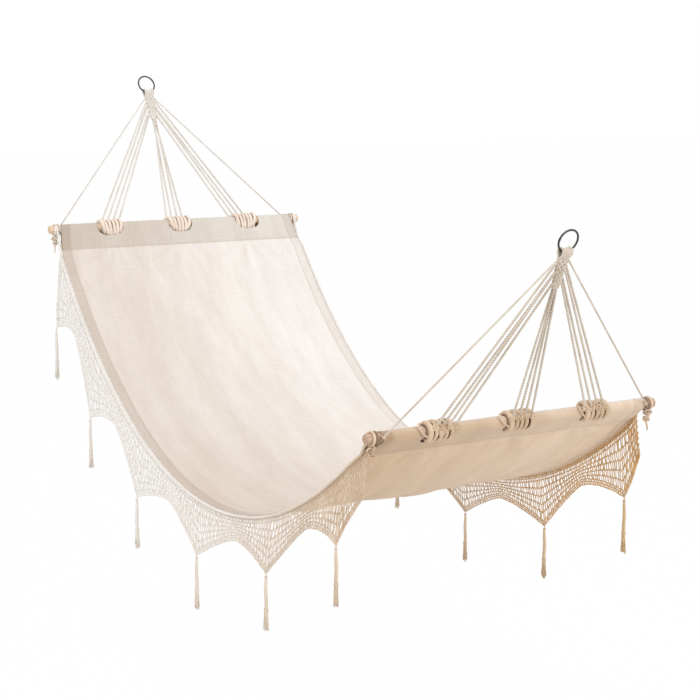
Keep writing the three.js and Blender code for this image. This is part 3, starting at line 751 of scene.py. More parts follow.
# Each gives a light and a dark colour at the back side and at the front side; the tan colours are
# the canvas in painted shade.
cream = (((250, 246, 243), (233, 223, 214)), ((241, 234, 229), (225, 213, 202)))
shaded_tan = (((243, 220, 196), (227, 199, 170)), ((233, 208, 182), (215, 186, 156)))
top_canvas = canvas_material("cream canvas", cream, (176, 150, 124), SEAMS, shaded_tan)
shaded_underside_canvas = canvas_material("tan canvas", shaded_tan, (152, 118, 88), SEAMS)
bed = mesh_piece("bed", cloth_points[used], quads.tolist(), "flat", flat[quads],
                 [top_canvas, shaded_underside_canvas])
# Painted shade: 1 round the foot bar and past the head bar's turn, and a little towards the foot.
warm = np.maximum(np.clip((TURNS[0] + 0.030 - flat[:, 1]) / 0.034, 0, 1),
                  0.24 * np.clip((1.5 - flat[:, 1]) / 0.45, 0, 1))
warm = np.maximum(warm, np.clip((flat[:, 1] - TURNS[1]) / 0.030, 0, 1))
bed.data.attributes.new("warm", "FLOAT", "POINT").data.foreach_set("value", warm)
shell = bed.modifiers.new("thickness", "SOLIDIFY")
shell.thickness, shell.offset, shell.material_offset = CLOTH_THICK, 0, 1
select_only(bed)
bpy.ops.object.modifier_apply(modifier="thickness")
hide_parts("bed_cloth")
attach(bed, "hammock")
print("bed cloth", len(bed.data.polygons), "faces")

# %% [markdown]
# ## Strands
# Everything else is yarn and cord: tubes along a line. One collector makes them all. It carries
# a frame along each line, gives the section round plies that turn as they go, and closes both
# ends. Rings of the mesh are spaced so that a groove moves on by one corner from ring to ring,
# and stays crisp.

# %% The collector of strands
def carried(path):
    """Two directions square to a path at each of its points, carried along without twisting."""
    forward = unit(np.gradient(path, axis=0))
    side = np.zeros_like(path)
    last = np.array((0.31, 0.9, 0.2)) if abs(forward[0, 1]) < 0.9 else np.array((1.0, 0.1, 0.2))
    for i, ahead in enumerate(forward):
        last = last - ahead * (last @ ahead)
        last /= math.sqrt(last @ last)
        side[i] = last
    return side, np.cross(forward, side)


def spaced(path, gap):
    """The same line with its points evenly spaced, about a gap apart."""
    path = np.asarray(path, float)
    run = run_along(path)
    return on_line(np.linspace(0, run[-1], max(2, round(run[-1] / gap) + 1)), run, path)


class Strands:
    """Collects tubes, and makes one piece of them."""

    def __init__(self):
        self.points, self.quads, self.caps, self.quad_uvs, self.cap_uvs = [], [], [], [], []
        self.grooves, self.count = [], 0

    def add(self, paths, radius, side, over, sides, plies=0, pitch=0.02, relief=0.0):
        """paths has a row of points for each tube; side and over are square to them."""
        tubes, stops = paths.shape[:2]
        run = run_along(paths)
        around = 2 * np.pi * np.arange(sides) / sides
        radius = np.broadcast_to(radius, (tubes, stops))
        crown = np.ones((tubes, stops, sides))
        if plies:
            crown = np.abs(np.cos(plies / 2 * (around - 2 * np.pi * run[..., None] / pitch)))
        reach = radius[..., None] * (1 + relief * (crown - 0.6))
        points = (paths[:, :, None] + (reach * np.cos(around))[..., None] * side[:, :, None]
                  + (reach * np.sin(around))[..., None] * over[:, :, None])
        index = self.count + np.arange(tubes * stops * sides).reshape(tubes, stops, sides)
        after = np.roll(index, -1, axis=2)
        quads = np.stack([index[:, :-1], after[:, :-1], after[:, 1:], index[:, 1:]], -1)
        u = np.broadcast_to(np.arange(sides) / sides, quads.shape[:3])
        low, high = (np.broadcast_to(r[..., None], quads.shape[:3])
                     for r in (run[:, :-1], run[:, 1:]))
        ahead = u + 1 / sides
        uvs = np.stack([np.stack(pair, -1) for pair in (
            (u, low), (ahead, low), (ahead, high), (u, high))], -2)
        self.points.append(points.reshape(-1, 3))
        self.grooves.append(1 - crown.ravel())
        self.quads += quads.reshape(-1, 4).tolist()
        self.quad_uvs.append(uvs.reshape(-1, 2))
        self.caps += index[:, 0, ::-1].tolist() + index[:, -1].tolist()
        self.cap_uvs.append(np.zeros((2 * tubes * sides, 2)))
        self.count += index.size

    def cord(self, path, radius, sides=12, plies=3, pitch=0.027, relief=0.34):
        """One twisted cord along a line in space; returns the points that it follows."""
        path = spaced(path, pitch / sides) if plies else np.asarray(path, float)
        side, over = carried(path)
        radius = np.interp(np.linspace(0, 1, len(path)), np.linspace(0, 1, np.size(radius)),
                           np.ravel(radius))
        self.add(path[None], radius[None], side[None], over[None], sides, plies, pitch, relief)
        return path

    def piece(self, name, material, body, slot, tone=None):
        """Makes the piece; tone is a value for each point, from its place."""
        points = np.concatenate(self.points)
        uvs = np.concatenate(self.quad_uvs + self.cap_uvs)
        made = mesh_piece(name, points, self.quads + self.caps, "yarn", uvs, [material])
        values = {"groove": np.concatenate(self.grooves)}
        if tone is not None:
            values["tone"] = tone(points)
        for key, value in values.items():
            made.data.attributes.new(key, "FLOAT", "POINT").data.foreach_set("value", value)
        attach(made, body)
        return made


# %% [markdown]
# ## Clew cords
# At each end twelve twisted legs and two thinner outer cords go from the gather to the bar and
# are hitched round it. Each follows the CAD route: straight out of the gather, then round the
# bar. They are taut, so they don't sag. The length of each is measured and added up.

# %% Routes to the bars
LEG_RADIUS, OUTER_RADIUS, EDGE_RADIUS = 0.00275, 0.00225, 0.003
LEG_PITCH, GATHER_END, EYE_TOP = 0.020, 0.124, 0.0243
GATHER_TOP_WIDTH, GATHER_END_WIDTH = 0.032, 0.020
LAYER, SIDE_DOWN, SIDE_STEP = 0.0031, 0.108, 0.015
OUTER_DOWN, OUTER_FROM_END, TURN_GAP = 0.049, 0.032, 0.0004


def gather_half(down):
    narrower = GATHER_END_WIDTH - GATHER_TOP_WIDTH
    return (GATHER_TOP_WIDTH + narrower * (down - EYE_TOP) / (GATHER_END - EYE_TOP)) / 2


def round_bar(end, out, angle, y):
    """Places round a bar: out from its axis, at an angle from outwards, and along it to y."""
    return np.stack([end.bar[0] + end.sign * out * np.cos(angle), y,
                     end.bar[2] + out * np.sin(angle)], -1)


def wrap(end, start, y, radius):
    """A cord that comes to a bar from a place and winds round it, away from the bar's middle."""
    reach = BAR_RADIUS + SEAT + radius
    out, rise = end.sign * (start[0] - end.bar[0]), start[2] - end.bar[2]
    first = math.atan2(rise, out) - math.acos(reach / math.hypot(out, rise))
    wound = np.linspace(0, math.radians(380), 41)
    return round_bar(end, reach, first - wound,
                     y + math.copysign(2 * radius + TURN_GAP, y) * wound / (2 * math.pi))


def clew_starts(end):
    """Name, place on the bar, cord radius, start and the place inside the gather, for each cord."""
    found = []
    for side_name, side in (("back", -1), ("middle", 0), ("front", 1)):
        for i in range(4):
            from_middle = (i - 1.5) * LEG_PITCH
            layer = LAYER if i % 2 == 0 else -LAYER
            if side == 0:
                y = from_middle
                lean = math.atan2(abs(y), CLEW_LENGTH - GATHER_END)
                down = GATHER_END + SEAT + LEG_RADIUS * math.sin(lean)
                beside = math.copysign(LAYER, y)
            else:
                y = side * (GROUP_OFFSET + from_middle)
                down = SIDE_DOWN - i * SIDE_STEP
                lean = math.atan2(abs(y) - gather_half(down), CLEW_LENGTH - down)
                beside = side * (gather_half(down) + SEAT + LEG_RADIUS * math.cos(lean))
            start = end.clew_place(down, layer, beside)
            inside = (start + (-0.002 if side else 0.010) * end.up
                      - (0.5 * beside if side else 0) * ACROSS)
            found.append((f"{end.name}_clew_{side_name}_leg_{i + 1}", y, LEG_RADIUS, start, inside))
        if side:
            y, half_here = side * (BAR_LENGTH / 2 - OUTER_FROM_END), gather_half(OUTER_DOWN)
            lean = math.atan2(abs(y) - half_here, CLEW_LENGTH - OUTER_DOWN)
            beside = side * (half_here + SEAT + OUTER_RADIUS * math.cos(lean))
            start = end.clew_place(OUTER_DOWN, 0, beside)
            inside = start - 0.003 * end.up - 0.4 * beside * ACROSS
            found.append((f"{end.name}_clew_{side_name}_outer_cord", y, OUTER_RADIUS, start,
                          inside))
    return found


def near_foot_bar(points):
    """How much painted shade a cord gets where it goes round the foot bar: most on the bar itself.
    """
    off = np.hypot(points[:, 0] - foot.bar[0], points[:, 2] - foot.bar[2])
    return 0.75 * np.clip((BAR_RADIUS + 0.0085 - off) / 0.003, 0, 1)


def declare_cord(path):
    """The length of the line that a cord follows."""
    long = float(np.linalg.norm(np.diff(path, axis=0), axis=1).sum())
    return long


clew_lengths = []
for end in (foot, head):
    for name, y, radius, start, inside in clew_starts(end):
        strands = Strands()
        thin = radius < LEG_RADIUS
        route = np.concatenate([[inside, start], wrap(end, start, y, radius)])
        path = strands.cord(route, radius, sides=9 if thin else 12, pitch=0.018 if thin else 0.0225,
                            relief=0.26 if thin else 0.34)
        # The cord gets painted shade where it goes round the foot bar.
        cord = strands.piece(name + "_twisted", cotton_cord, "hammock", "cotton_cord",
                             near_foot_bar)
        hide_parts(name)
        clew_lengths.append(declare_cord(path))
print(len(clew_lengths), "clew cords,", round(sum(clew_lengths), 2), "m in all")

# %% [markdown]
# ## Knots on the bars
# Where a group of legs meets the bar, fat soft strands go round it side by side and fill the
# rounded notch of the sleeve, so from in front each group looks like a fan of bulges with dark
# gaps. Above them each leg is knotted round itself: a cord that goes twice round it while it
# winds three times through itself has the crossing strands of a real knot. Each is turned and
# tipped a little differently. On the foot bar two strands also slant over each group, and a
# slack loop lies on the sleeve beside it.

# %% Helpers for knots
chance = np.random.default_rng(7)
KNOT_WAVE, SQUEEZE, WANDER = 0.48, 0.22, 0.0014
CROSSING_RADIUS, BIGHT_RADIUS = 0.0027, 0.0023


def round_knot(strands, centre, axis, size, thick, spin, flat=1.0, sides=9):
    """A rounded knot about an axis: twice round, and three times through."""
    axis = unit(np.asarray(axis, float))
    first = unit(np.cross(axis, (0.3, 0.1, 0.9) if abs(axis[2]) < 0.8 else (1.0, 0.2, 0.1)))
    second = np.cross(axis, first)
    phi = np.linspace(0, 4 * math.pi, 121)
    ring = size * (1 + KNOT_WAVE * np.cos(1.5 * phi))
    path = (centre + np.outer(ring * np.cos(phi + spin), first)
            + np.outer(ring * np.sin(phi + spin), second)
            + np.outer(KNOT_WAVE * size * flat * np.sin(1.5 * phi), axis))
    strands.cord(path, thick, sides=sides, pitch=0.02, relief=0.28)


def fat_turn(strands, end, y, off, thick, proud):
    """One fat turn round the bar, drawn out towards the seam as far as the notch lets it.

    Its sides get painted groove shade, but a group's outermost turns are proud and have none on
    their outer side.
    """
    seam = cloth_point(SLEEVE_DEPTH if end is foot else BED_LENGTH - SLEEVE_DEPTH)
    to_seam = unit(np.array((seam[0] - end.bar[0], 0, seam[1] - end.bar[2])))
    square = np.cross(ACROSS, to_seam)
    beside = max(abs(off) * (1 - SQUEEZE) + thick - NOTCH_WIDTH / 2 + NOTCH_CORNER, 0)
    deep = NOTCH_DEPTH - NOTCH_CORNER + math.sqrt(NOTCH_CORNER ** 2 - beside ** 2) - thick
    angle = np.linspace(0, 2 * math.pi, 61)
    reach = BAR_RADIUS + SEAT + thick + proud
    low = np.maximum(np.cos(angle), 0)
    down = np.where(low > 0, deep, reach) * np.cos(angle)
    spread = (off * (1 - SQUEEZE * low ** 2)
              + chance.uniform(-WANDER, WANDER) * np.sin(angle + chance.uniform(0, 6)))
    path = (end.bar + np.outer(down, to_seam) + np.outer(y + spread, ACROSS)
            + np.outer(reach * np.sin(angle) * (1 - 0.1 * low), square))
    plump = 1 + 0.07 * np.cos(2 * angle + chance.uniform(-0.5, 0.5))
    strands.cord(path, thick * chance.uniform(0.86, 1.0) * plump, sides=14, plies=0)
    beside = (strands.points[-1].reshape(len(path), 14, 3)[..., 1] - path[:, None, 1]) / thick
    if proud:
        beside = np.where(beside * off > 0, 0, beside)
    strands.grooves[-1] = np.clip(np.abs(beside), 0, 1).ravel() ** 2.6


def crossing(strands, end, y, one, other):
    """A strand that goes slantwise over a group's fat turns, from one place to another."""
    share = np.linspace(0, 1, 31)
    angle = math.radians(150) - math.radians(172) * share
    out = BAR_RADIUS + 0.0125 - 0.004 * np.abs(2 * share - 1) ** 3
    path = round_bar(end, out, angle, y + one + (other - one) * share)
    strands.cord(path, CROSSING_RADIUS, sides=9, pitch=0.02, relief=0.24)


def loose_bight(strands, end, y, reach):
    """A slack loop that lies on the sleeve beside a group, as far as it reaches."""
    share = np.linspace(0, 1, 41)
    angle = math.radians(118) - math.radians(150) * share
    out = BAR_RADIUS + 0.0068 + 0.0022 * np.sin(share * math.pi)
    path = round_bar(end, out, angle, y + reach * np.sin(share * math.pi) ** 0.8)
    strands.cord(path, BIGHT_RADIUS, sides=9, pitch=0.02, relief=0.24)


# %% Make the knots
FAT_TURNS = {"foot": (5, 0.0150, 0.0062), "head": (6, 0.0124, 0.0056)}
PROUD = 0.0016
LEG_KNOT, OUTER_KNOT = (0.0056, 0.0034), (0.0034, 0.0019)
for end in (foot, head):
    strands = Strands()
    turns, pitch, thick = FAT_TURNS[end.name]
    for y in (-GROUP_OFFSET, 0, GROUP_OFFSET):
        for i in range(turns):
            fat_turn(strands, end, y, (i - (turns - 1) / 2) * pitch, thick,
                     PROUD if i in (0, turns - 1) else 0.0)
        if end is foot:
            loose_bight(strands, end, y + NOTCH_WIDTH / 2 - 0.006, chance.uniform(0.018, 0.030))
            crossing(strands, end, y, chance.uniform(0.014, 0.026), chance.uniform(-0.004, 0.006))
            crossing(strands, end, y, chance.uniform(-0.022, -0.014), chance.uniform(-0.006, 0.004))
    for name, y, radius, start, inside in clew_starts(end):
        meets = wrap(end, start, y, radius)[0]
        leg_way = unit(start - meets)
        thin = radius < LEG_RADIUS
        above = 0.012 if thin else chance.uniform(0.017, 0.021)
        tilt = leg_way + chance.uniform(-0.5, 0.5, 3) * (0.4 if thin else 1)
        size, thick = OUTER_KNOT if thin else LEG_KNOT
        round_knot(strands, meets + above * leg_way, tilt, size, thick, chance.uniform(0, 6.28),
                   flat=1.2)
    strands.piece(end.name + "_clew_knots", knot_cord, "hammock", "cotton_cord")
    print(end.name, "knots", len(strands.quads), "faces")

# %% [markdown]
# ## Gathers
# Six long cords are laid over each ring, which gives twelve strands, and the strands are
# braided into a short tapering column. In a round braid half of the strands go one way round
# and half the other, and each passes over one crossing and under the next. A wave with its
# crests at the crossings does just that. Six straight cords fill the middle, so no light gets
# through.

# %% Braid the gathers
BRAID_TOP, BRAID_TURN = 0.046, math.radians(330)
CORD_OFF_RING, CROSSING_OUT, BRAID_CLOSES_FROM = 0.0091, 0.0013, 0.93
BRAID_THICK, BRAID_END_THICK = 0.0085, 0.0044


def braid_side(end, angle, way, top_y):
    """Half of a cord: from over the ring down one side, then along the braid."""
    arch = np.linspace(math.pi / 2, 0, 12)
    down = np.concatenate([0.029 - 0.0067 * np.sin(arch), np.linspace(0.031, BRAID_TOP, 10)])
    n = np.concatenate([CORD_OFF_RING * np.cos(arch), np.full(10, CORD_OFF_RING)])
    blend = np.clip((down - 0.033) / (BRAID_TOP - 0.033), 0, 1)
    blend = blend * blend * (3 - 2 * blend)
    sign = 1 if math.sin(angle) > 0 else -1
    wide, thick = gather_half(BRAID_TOP) - 0.0023, 0.0087
    y = top_y + (wide * math.cos(angle) - top_y) * blend
    n = sign * n + (thick * math.sin(angle) - sign * n) * blend
    bend = (EYE_TOP - np.sqrt(EYE_TOP ** 2 - y ** 2)) * (1 - blend)
    top = end.clew_place(down - bend, n, y)
    share = np.linspace(0, 1, 90)[1:]
    down = BRAID_TOP + (GATHER_END - 0.002 - BRAID_TOP) * share
    turned = angle + way * BRAID_TURN * share
    weave_out = (CROSSING_OUT * way * np.cos(6 * BRAID_TURN * share + math.pi / 2)
                 * (1 - 0.4 * share))
    close = 1 - 0.45 * np.clip((share - BRAID_CLOSES_FROM) / 0.07, 0, 1) ** 2
    wide = (gather_half(down) - 0.0027) * close + weave_out
    thick = (BRAID_THICK + (BRAID_END_THICK - BRAID_THICK) * share) * close + weave_out
    body = end.clew_place(down, thick * np.sin(turned), wide * np.cos(turned))
    return np.concatenate([top, body])


for end in (foot, head):
    strands = Strands()
    for i, angle in enumerate(np.radians([15, 45, 75, 105, 135, 165])):
        way = 1 if i % 2 == 0 else -1
        top_y = 0.0053 * (2.5 - i)
        one, other = braid_side(end, angle, way, top_y), braid_side(end, -angle, -way, top_y)
        path = np.concatenate([one[::-1], other[1:]])
        strands.cord(path, [0.0026, 0.0031, 0.0029, 0.0031, 0.0026], sides=9, pitch=0.018,
                     relief=0.08)
        strands.grooves[-1] = strands.grooves[-1] * 0.3
    for angle in np.radians([0, 60, 120, 180, 240, 300]):
        down = np.linspace(BRAID_TOP - 0.004, GATHER_END - 0.004, 12)
        core = end.clew_place(down, np.linspace(0.0042, 0.0014, 12) * math.sin(angle),
                              (gather_half(down) - 0.0078) * math.cos(angle))
        strands.cord(core, [0.0036, 0.0036, 0.0028], sides=8, plies=0)
    # The gather gets a small even share of the cord's painted shade colour.
    gather = strands.piece(end.name + "_gather_braid", cotton_cord, "hammock", "cotton_cord",
                           lambda p: np.full(len(p), 0.08))
    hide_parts(end.name + "_gather")
    print(end.name, "gather", len(strands.quads), "faces")

# %% [markdown]
# ## Fringes
# A crocheted net hangs from each side of the bed. Flat, it is drawn by how far along the edge
# and how far below it a place is; it is then hung, so its threads stay plumb. Two dense heading
# rows run along the edge, then rows of tall open stitches set like bricks, then a close border
# that follows the six points. The lines along the net are chain stitches, which swell and
# narrow, and the posts between them are pulled a little this way and that, as hand work is.

# %% Layout of the net
FRINGE_START, TIP_WIDTH, VALLEY_WIDTH = 0.035, 0.145, 0.068
TIP_FROM_FOOT, TIP_FROM_HEAD, SCALLOPS = 0.140, 0.070, 6
NET_LEAN = 0.17
tip_pitch = (BED_LENGTH - TIP_FROM_FOOT - TIP_FROM_HEAD) / (SCALLOPS - 1)
tips = [TIP_FROM_FOOT + i * tip_pitch for i in range(SCALLOPS)]
HEADINGS = (0.0025, 0.0100, 0.0185)
BORDER_LINES = (0.0150, 0.0085, 0.0018)
NET_ROWS = 5


def fringe_width(along):
    share = np.mod(along - TIP_FROM_FOOT, tip_pitch) / tip_pitch
    return VALLEY_WIDTH + (TIP_WIDTH - VALLEY_WIDTH) * np.abs(2 * share - 1) ** 1.5


def hung(along, down, side, out=0.0):
    """Places on the net; out is away from the bed."""
    x = chain_x(along)
    z = chain_z(x) - down * np.cosh((x - low_x) / sag)
    return np.stack([x, side * (half_width(x) + 0.0015 + NET_LEAN * down + out), z], -1)


def line_depth(k, along):
    """How deep the k-th line of the net is: headings first, then net rows, then the border."""
    width = fringe_width(along)
    if k < len(HEADINGS):
        return np.full(np.shape(along), HEADINGS[k])
    if k < len(HEADINGS) + NET_ROWS - 1:
        share = (k - len(HEADINGS) + 1) / NET_ROWS
        return HEADINGS[-1] + (width - BORDER_LINES[0] - HEADINGS[-1]) * share
    return width - BORDER_LINES[k - len(HEADINGS) - NET_ROWS + 1]


LINES = len(HEADINGS) + NET_ROWS - 1 + len(BORDER_LINES)
print("net of", LINES, "lines, points", [round(t, 3) for t in tips])

# %% Crochet one fringe
ROW_PITCH = {0: 0.0058, 1: 0.0058, LINES - 3: 0.0056, LINES - 2: 0.0056}
NET_PITCH, STITCH, LINE_GAP = 0.0088, 0.0052, 0.0026
POST_SWELL = np.array([1.15, 0.9, 0.9, 1.15])


def finer(along):
    """The yarn pulls out a little finer towards the head."""
    return 1 - 0.3 * np.clip((along - 1.0) / 0.9, 0, 1)


def posts(strands, side, k, pitch, chance, radius):
    """The upright stitches between two lines of the net."""
    along = np.arange(FRINGE_START + pitch * (0.5 + 0.5 * (k % 2)), BED_LENGTH - FRINGE_START,
                      pitch)
    lean = (chance.normal(0, pitch * 0.13, along.shape)
            + pitch * 0.16 * (-1) ** np.arange(len(along)))
    top, low = line_depth(k, along), line_depth(k + 1, along + lean)
    share = np.array([-0.03, 0.3, 0.7, 1.03])
    puff = chance.normal(0, 0.0007, along.shape)[:, None] * np.array([0, 1, 1, 0])
    places = hung(along[:, None] + lean[:, None] * share,
                  top[:, None] + (low - top)[:, None] * share, side, puff)
    forward = unit(np.gradient(places, axis=1))
    out = np.broadcast_to(ACROSS, places.shape)
    thick = radius * (finer(along) + chance.normal(0, 0.09, along.shape))[:, None] * POST_SWELL
    strands.add(places, thick, out, unit(np.cross(forward, out)), 5)


def fringe(side, seed):
    chance = np.random.default_rng(seed)
    strands = Strands()
    along = np.arange(FRINGE_START, BED_LENGTH - FRINGE_START + LINE_GAP / 2, LINE_GAP)
    for k in range(LINES):
        turn = 2 * np.pi * along / STITCH + k
        stitch = np.sin(turn)
        tug = np.interp(along, np.linspace(0, BED_LENGTH, 300), chance.normal(0, 0.0006, 300))
        depth = line_depth(k, along) + tug * (k > 1) + 0.0004 * stitch
        places = hung(along, depth, side, 0.0004 * np.cos(turn))
        out = np.broadcast_to(ACROSS, places.shape)
        thick = (0.0017 if k in (0, LINES - 1) else 0.0015) * (1 + 0.24 * stitch) * finer(along)
        over = unit(np.cross(unit(np.gradient(places, axis=0)), out))
        strands.add(places[None], thick[None], out[None], over[None], 5)
        if k < LINES - 1:
            posts(strands, side, k, ROW_PITCH.get(k, NET_PITCH), chance,
                  0.0012 if k in ROW_PITCH else 0.0016)
    whips(strands, side, chance)
    for tip in tips:
        down = TIP_WIDTH + np.array([-0.007, -0.003, 0.0014])
        strands.cord(hung(np.full(3, tip), down, side), [0.0019, 0.0021, 0.0016], sides=7,
                     pitch=0.012)
    return strands


def whips(strands, side, chance):
    """Small stitches over the cloth's edge, which sew the net to it."""
    along = np.arange(FRINGE_START + 0.05, BED_LENGTH - FRINGE_START - 0.05, 0.0105)
    along = along + chance.normal(0, 0.0006, along.shape)
    loop = np.linspace(0.15, 2 * math.pi + 0.1, 9)
    out = -0.0028 + 0.0044 * np.cos(loop)
    lift = 0.0019 * np.sin(loop)
    places = hung(along[:, None] + 0.0012 * loop / 6,
                  np.broadcast_to(0.0006 - lift, (len(along), 9)), side, out)
    forward = unit(np.gradient(places, axis=1))
    way = np.broadcast_to(np.array((1.0, 0, 0)), places.shape)
    first = unit(way - forward * (way * forward).sum(-1, keepdims=True))
    strands.add(places, 0.0006, first, np.cross(forward, first), 4)


def front_tone(points):
    """Creamy at the head, and painted tan with shade towards the foot."""
    return np.clip(0.50 - 0.5 * (points[:, 0] + 0.85) / 1.2, 0.0, 0.5)


def back_tone(points):
    """Painted golden at the foot, for the light that comes through the net, and paler at the head.
    """
    return np.clip(1.1 - (points[:, 0] + 0.75) / 1.3, 0.15, 1.0)


for name, side, tone, seed in (("front", 1, front_tone, 21), ("back", -1, back_tone, 22)):
    strands = fringe(side, seed)
    strands.piece(name + "_net", crochet_yarn, "hammock", "crochet_cotton", tone)
    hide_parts(name + "_fringe")
    print(name, "fringe", len(strands.quads), "faces")

# %% [markdown]
# ## The cloth and its nets
# The fringes hang on the cloth's edges.

print("sheet declared,", BED_WIDTH, "by", round(FLAT_LENGTH, 3))

# %% [markdown]
# ## Edge cords
# A twisted cord runs along each side of the bed on the outside of the net's heading. It carries
# the side of the bed, so it goes past the sleeves at both ends, round the bar, and is tied off
# in two small knots and a tail that hang under it.

# %% Make the edge cords
EDGE_START, EDGE_DROP, EDGE_OUT = 0.060, 0.004, 0.0046
UPPER_KNOT, LOWER_KNOT = (0.0070, 0.0028), (0.0056, 0.0023)
for name, side in (("front", 1), ("back", -1)):
    strands = Strands()
    run_points = hung(np.linspace(EDGE_START, BED_LENGTH - EDGE_START, 400), EDGE_DROP, side,
                      EDGE_OUT)
    knot_y = side * (BAR_LENGTH / 2 - 0.020)
    at_foot = wrap(foot, run_points[0], knot_y, EDGE_RADIUS)[::-1]
    at_head = wrap(head, run_points[-1], knot_y, EDGE_RADIUS)
    path = strands.cord(np.concatenate([at_foot, run_points, at_head]), EDGE_RADIUS, sides=9,
                        pitch=0.021, relief=0.3)
    # The tone paints this cord tan with shade towards the foot, and darker with shade round the
    # foot bar.
    cord = strands.piece(name + "_edge_twisted", crochet_yarn, "hammock", "cotton_cord",
                         lambda p: np.clip(0.42 - 0.5 * (p[:, 0] + 0.85) / 1.2, 0.16, 0.42)
                         + 0.17 * near_foot_bar(p))
    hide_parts(name + "_edge_cord")
    print(name, "edge cord", round(declare_cord(path), 3), "m")
    knots = Strands()
    for end in (foot, head):
        upper = end.bar + (knot_y + side * 0.002) * ACROSS + np.array((0, 0, -BAR_RADIUS - 0.0115))
        round_knot(knots, upper, (0.2, side * 0.4, 1), *UPPER_KNOT, 0.6 + side, flat=1.25)
        lower = upper + np.array((0.001, -side * 0.002, -0.0155))
        round_knot(knots, lower, (1, side * 0.3, 0.2), *LOWER_KNOT, 2.0 + side, flat=1.1)
        tail = lower + np.outer(np.linspace(0.004, 0.030, 14), (0, side * 0.1, -1)) + np.outer(
            0.0014 * np.sin(np.linspace(0, 6, 14)), (1, 0, 0))
        knots.cord(tail, [0.0022, 0.0023, 0.0017], sides=9, pitch=0.018, relief=0.26)
    knots.piece(name + "_edge_knots", knot_cord, "hammock", "cotton_cord")

# %% [markdown]
# ## Tassels
# A tassel is tied in a small knot under a point of the net. It has a twisted stem, a binding
# wound round it, and loose threads below. Each of the twelve has its own waves, so that no two
# hang alike, and rides on its own body.

# %% Make the tassels
KNOT_RADIUS, STEM_TOP, STEM_LENGTH, SWAY = 0.0055, 0.002, 0.086, 0.0011
BAND_TOP, BAND_HEIGHT, BAND_RADIUS, TUFT_TOP = 0.0848, 0.0082, 0.0050, 0.090
BAND_TURNS, BAND_CORD_RADIUS, TUFT_THREADS, TUFT_RADIUS = 5, 0.0010, 26, 0.0039


def spun(top, out, angle, down):
    """Places round the plumb line under a tassel's top."""
    return top + np.stack([out * np.cos(angle), out * np.sin(angle), -down], -1)


def tassel(strands, top, seed):
    chance = np.random.default_rng(seed)
    round_knot(strands, top - (0, 0, 0.0007), (0, 0, 1), 0.0023, 0.0012, chance.uniform(0, 6),
               flat=1.2, sides=7)
    strands.cord(top + np.outer(np.linspace(0.0052, -0.0012, 5), (0, 0, 1)), 0.0007, sides=6,
                 plies=0)
    share = np.linspace(0, 1, 40)
    sway = SWAY * np.sin(share * chance.uniform(5, 8) + chance.uniform(0, 6))
    sway = sway * np.sin(share * math.pi)
    stem = spun(top, sway, chance.uniform(0, 6.28), STEM_TOP + STEM_LENGTH * share)
    strands.cord(stem, [0.0030, 0.0042, 0.0044, 0.0044], sides=9, pitch=0.0171, relief=0.42)
    angle = np.linspace(0, 2 * math.pi * BAND_TURNS, 91)
    band = spun(top, BAND_RADIUS, angle, BAND_TOP + BAND_HEIGHT * angle / angle[-1])
    strands.cord(band, BAND_CORD_RADIUS, sides=5, plies=0)
    for i in range(TUFT_THREADS):
        spread, turn = TUFT_RADIUS * math.sqrt((i + 0.5) / TUFT_THREADS), i * 2.4
        end_out = spread * chance.uniform(1.5, 2.1)
        share = np.linspace(0, 1, 11)
        out = spread + (end_out - spread) * share ** 1.3
        swirl = turn + 0.5 * share * chance.uniform(-1, 1)
        curl = chance.uniform(0.0002, 0.0007) * np.sin(share * chance.uniform(7, 14) + turn)
        low = chance.uniform(0.130, 0.1435)
        thread = spun(top, out, swirl, TUFT_TOP + (low - TUFT_TOP) * share)
        thread = thread + np.outer(curl, (1, -1, 0))
        strands.cord(thread, [0.0012, 0.0011, 0.0009], sides=4, plies=0)


for name, side, tone in (("front", 1, front_tone), ("back", -1, back_tone)):
    for i, along_tip in enumerate(tips):
        top = hung(along_tip, fringe_width(along_tip), side) - (0, 0, SEAT + KNOT_RADIUS)
        strands = Strands()
        tassel(strands, top, 100 + i + 10 * (side > 0))
        # Each tassel takes a weaker share of its net's painted shade and painted light.
        made = strands.piece(f"{name}_tassel_{i + 1}_threads", crochet_yarn,
                             f"{name}_tassel_{i + 1}", "crochet_cotton",
                             lambda p, tone=tone: 0.15 + tone(p) * 0.6)
        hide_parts(f"{name}_tassel_{i + 1}")
print("tassels of", len(strands.quads), "faces each")

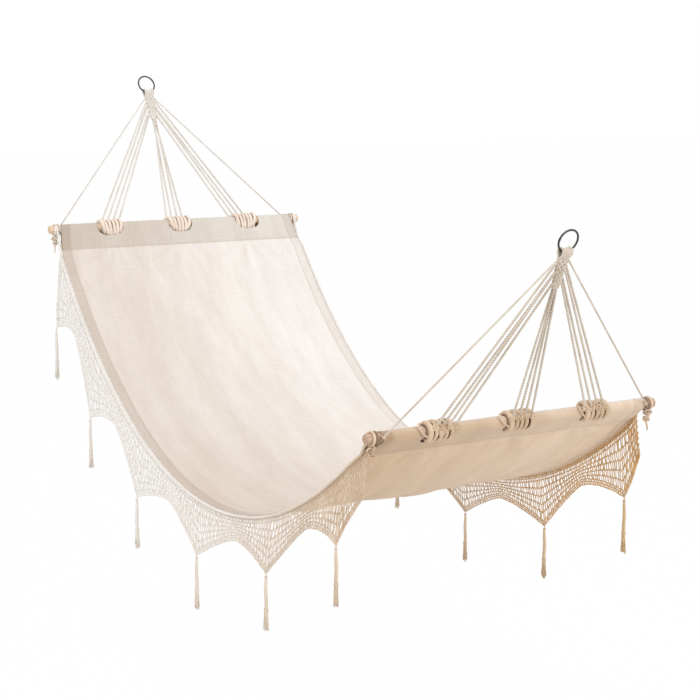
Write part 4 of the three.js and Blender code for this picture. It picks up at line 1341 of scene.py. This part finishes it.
# %% [markdown]
# ## The studio
# The hammock hangs over a plain pale floor. The background is white for the camera, and for
# gloss, through the kind of ray, while the light on the object comes from a soft key light, a
# weak fill and an even sky.

# %% Floor
FLOOR_HEIGHT = -1.62


def seen_straight(tree):
    """1 for the camera, gloss and glass, and 0 for the light on the object."""
    rays = node(tree, "LightPath").outputs
    return sums("MAXIMUM", rays["Is Camera Ray"], sums(
        "MAXIMUM", rays["Is Glossy Ray"], rays["Is Transmission Ray"]))


bpy.ops.mesh.primitive_plane_add(size=80, location=(0, 0, FLOOR_HEIGHT))
floor = bpy.context.object
floor.name = "floor"
pale, tree, shader = new_material("pale floor")
fill(shader, {"Base Color": colour(238, 236, 233), "Roughness": 0.9})
glow = node(tree, "Emission", {"Color": (1, 1, 1, 1), "Strength": 1.0})
both = node(tree, "MixShader", {0: sums("MULTIPLY", seen_straight(tree), 0.985),
                                1: shader.outputs[0], 2: glow.outputs[0]})
fill(tree.nodes["Material Output"], {0: both.outputs[0]})
floor.data.materials.append(pale)

# %% Sky and lamps
world = bpy.data.worlds.new("studio")
bpy.context.scene.world = world
world.use_nodes = True
tree = world.node_tree
even = node(tree, "Background", {"Color": (1.0, 0.99, 0.975, 1), "Strength": 0.74})
white = node(tree, "Background", {"Color": (1, 1, 1, 1), "Strength": 1.0})
both = node(tree, "MixShader", {0: seen_straight(tree), 1: even.outputs[0], 2: white.outputs[0]})
fill(tree.nodes["World Output"], {0: both.outputs[0]})


def lamp(name, place, size, power):
    data = bpy.data.lights.new(name, "AREA")
    data.shape, data.size, data.energy = "DISK", size, power
    made = bpy.data.objects.new(name, data)
    made.location = place
    made.rotation_euler = (Vector((0, 0, -0.5)) - Vector(place)).to_track_quat("-Z", "Y").to_euler()
    bpy.context.scene.collection.objects.link(made)


lamp("key", (-1.6, 2.6, 4.2), 3.2, 112)
lamp("fill", (-5.0, -1.0, 0.8), 3.0, 52)
bpy.context.scene.view_settings.view_transform = "Standard"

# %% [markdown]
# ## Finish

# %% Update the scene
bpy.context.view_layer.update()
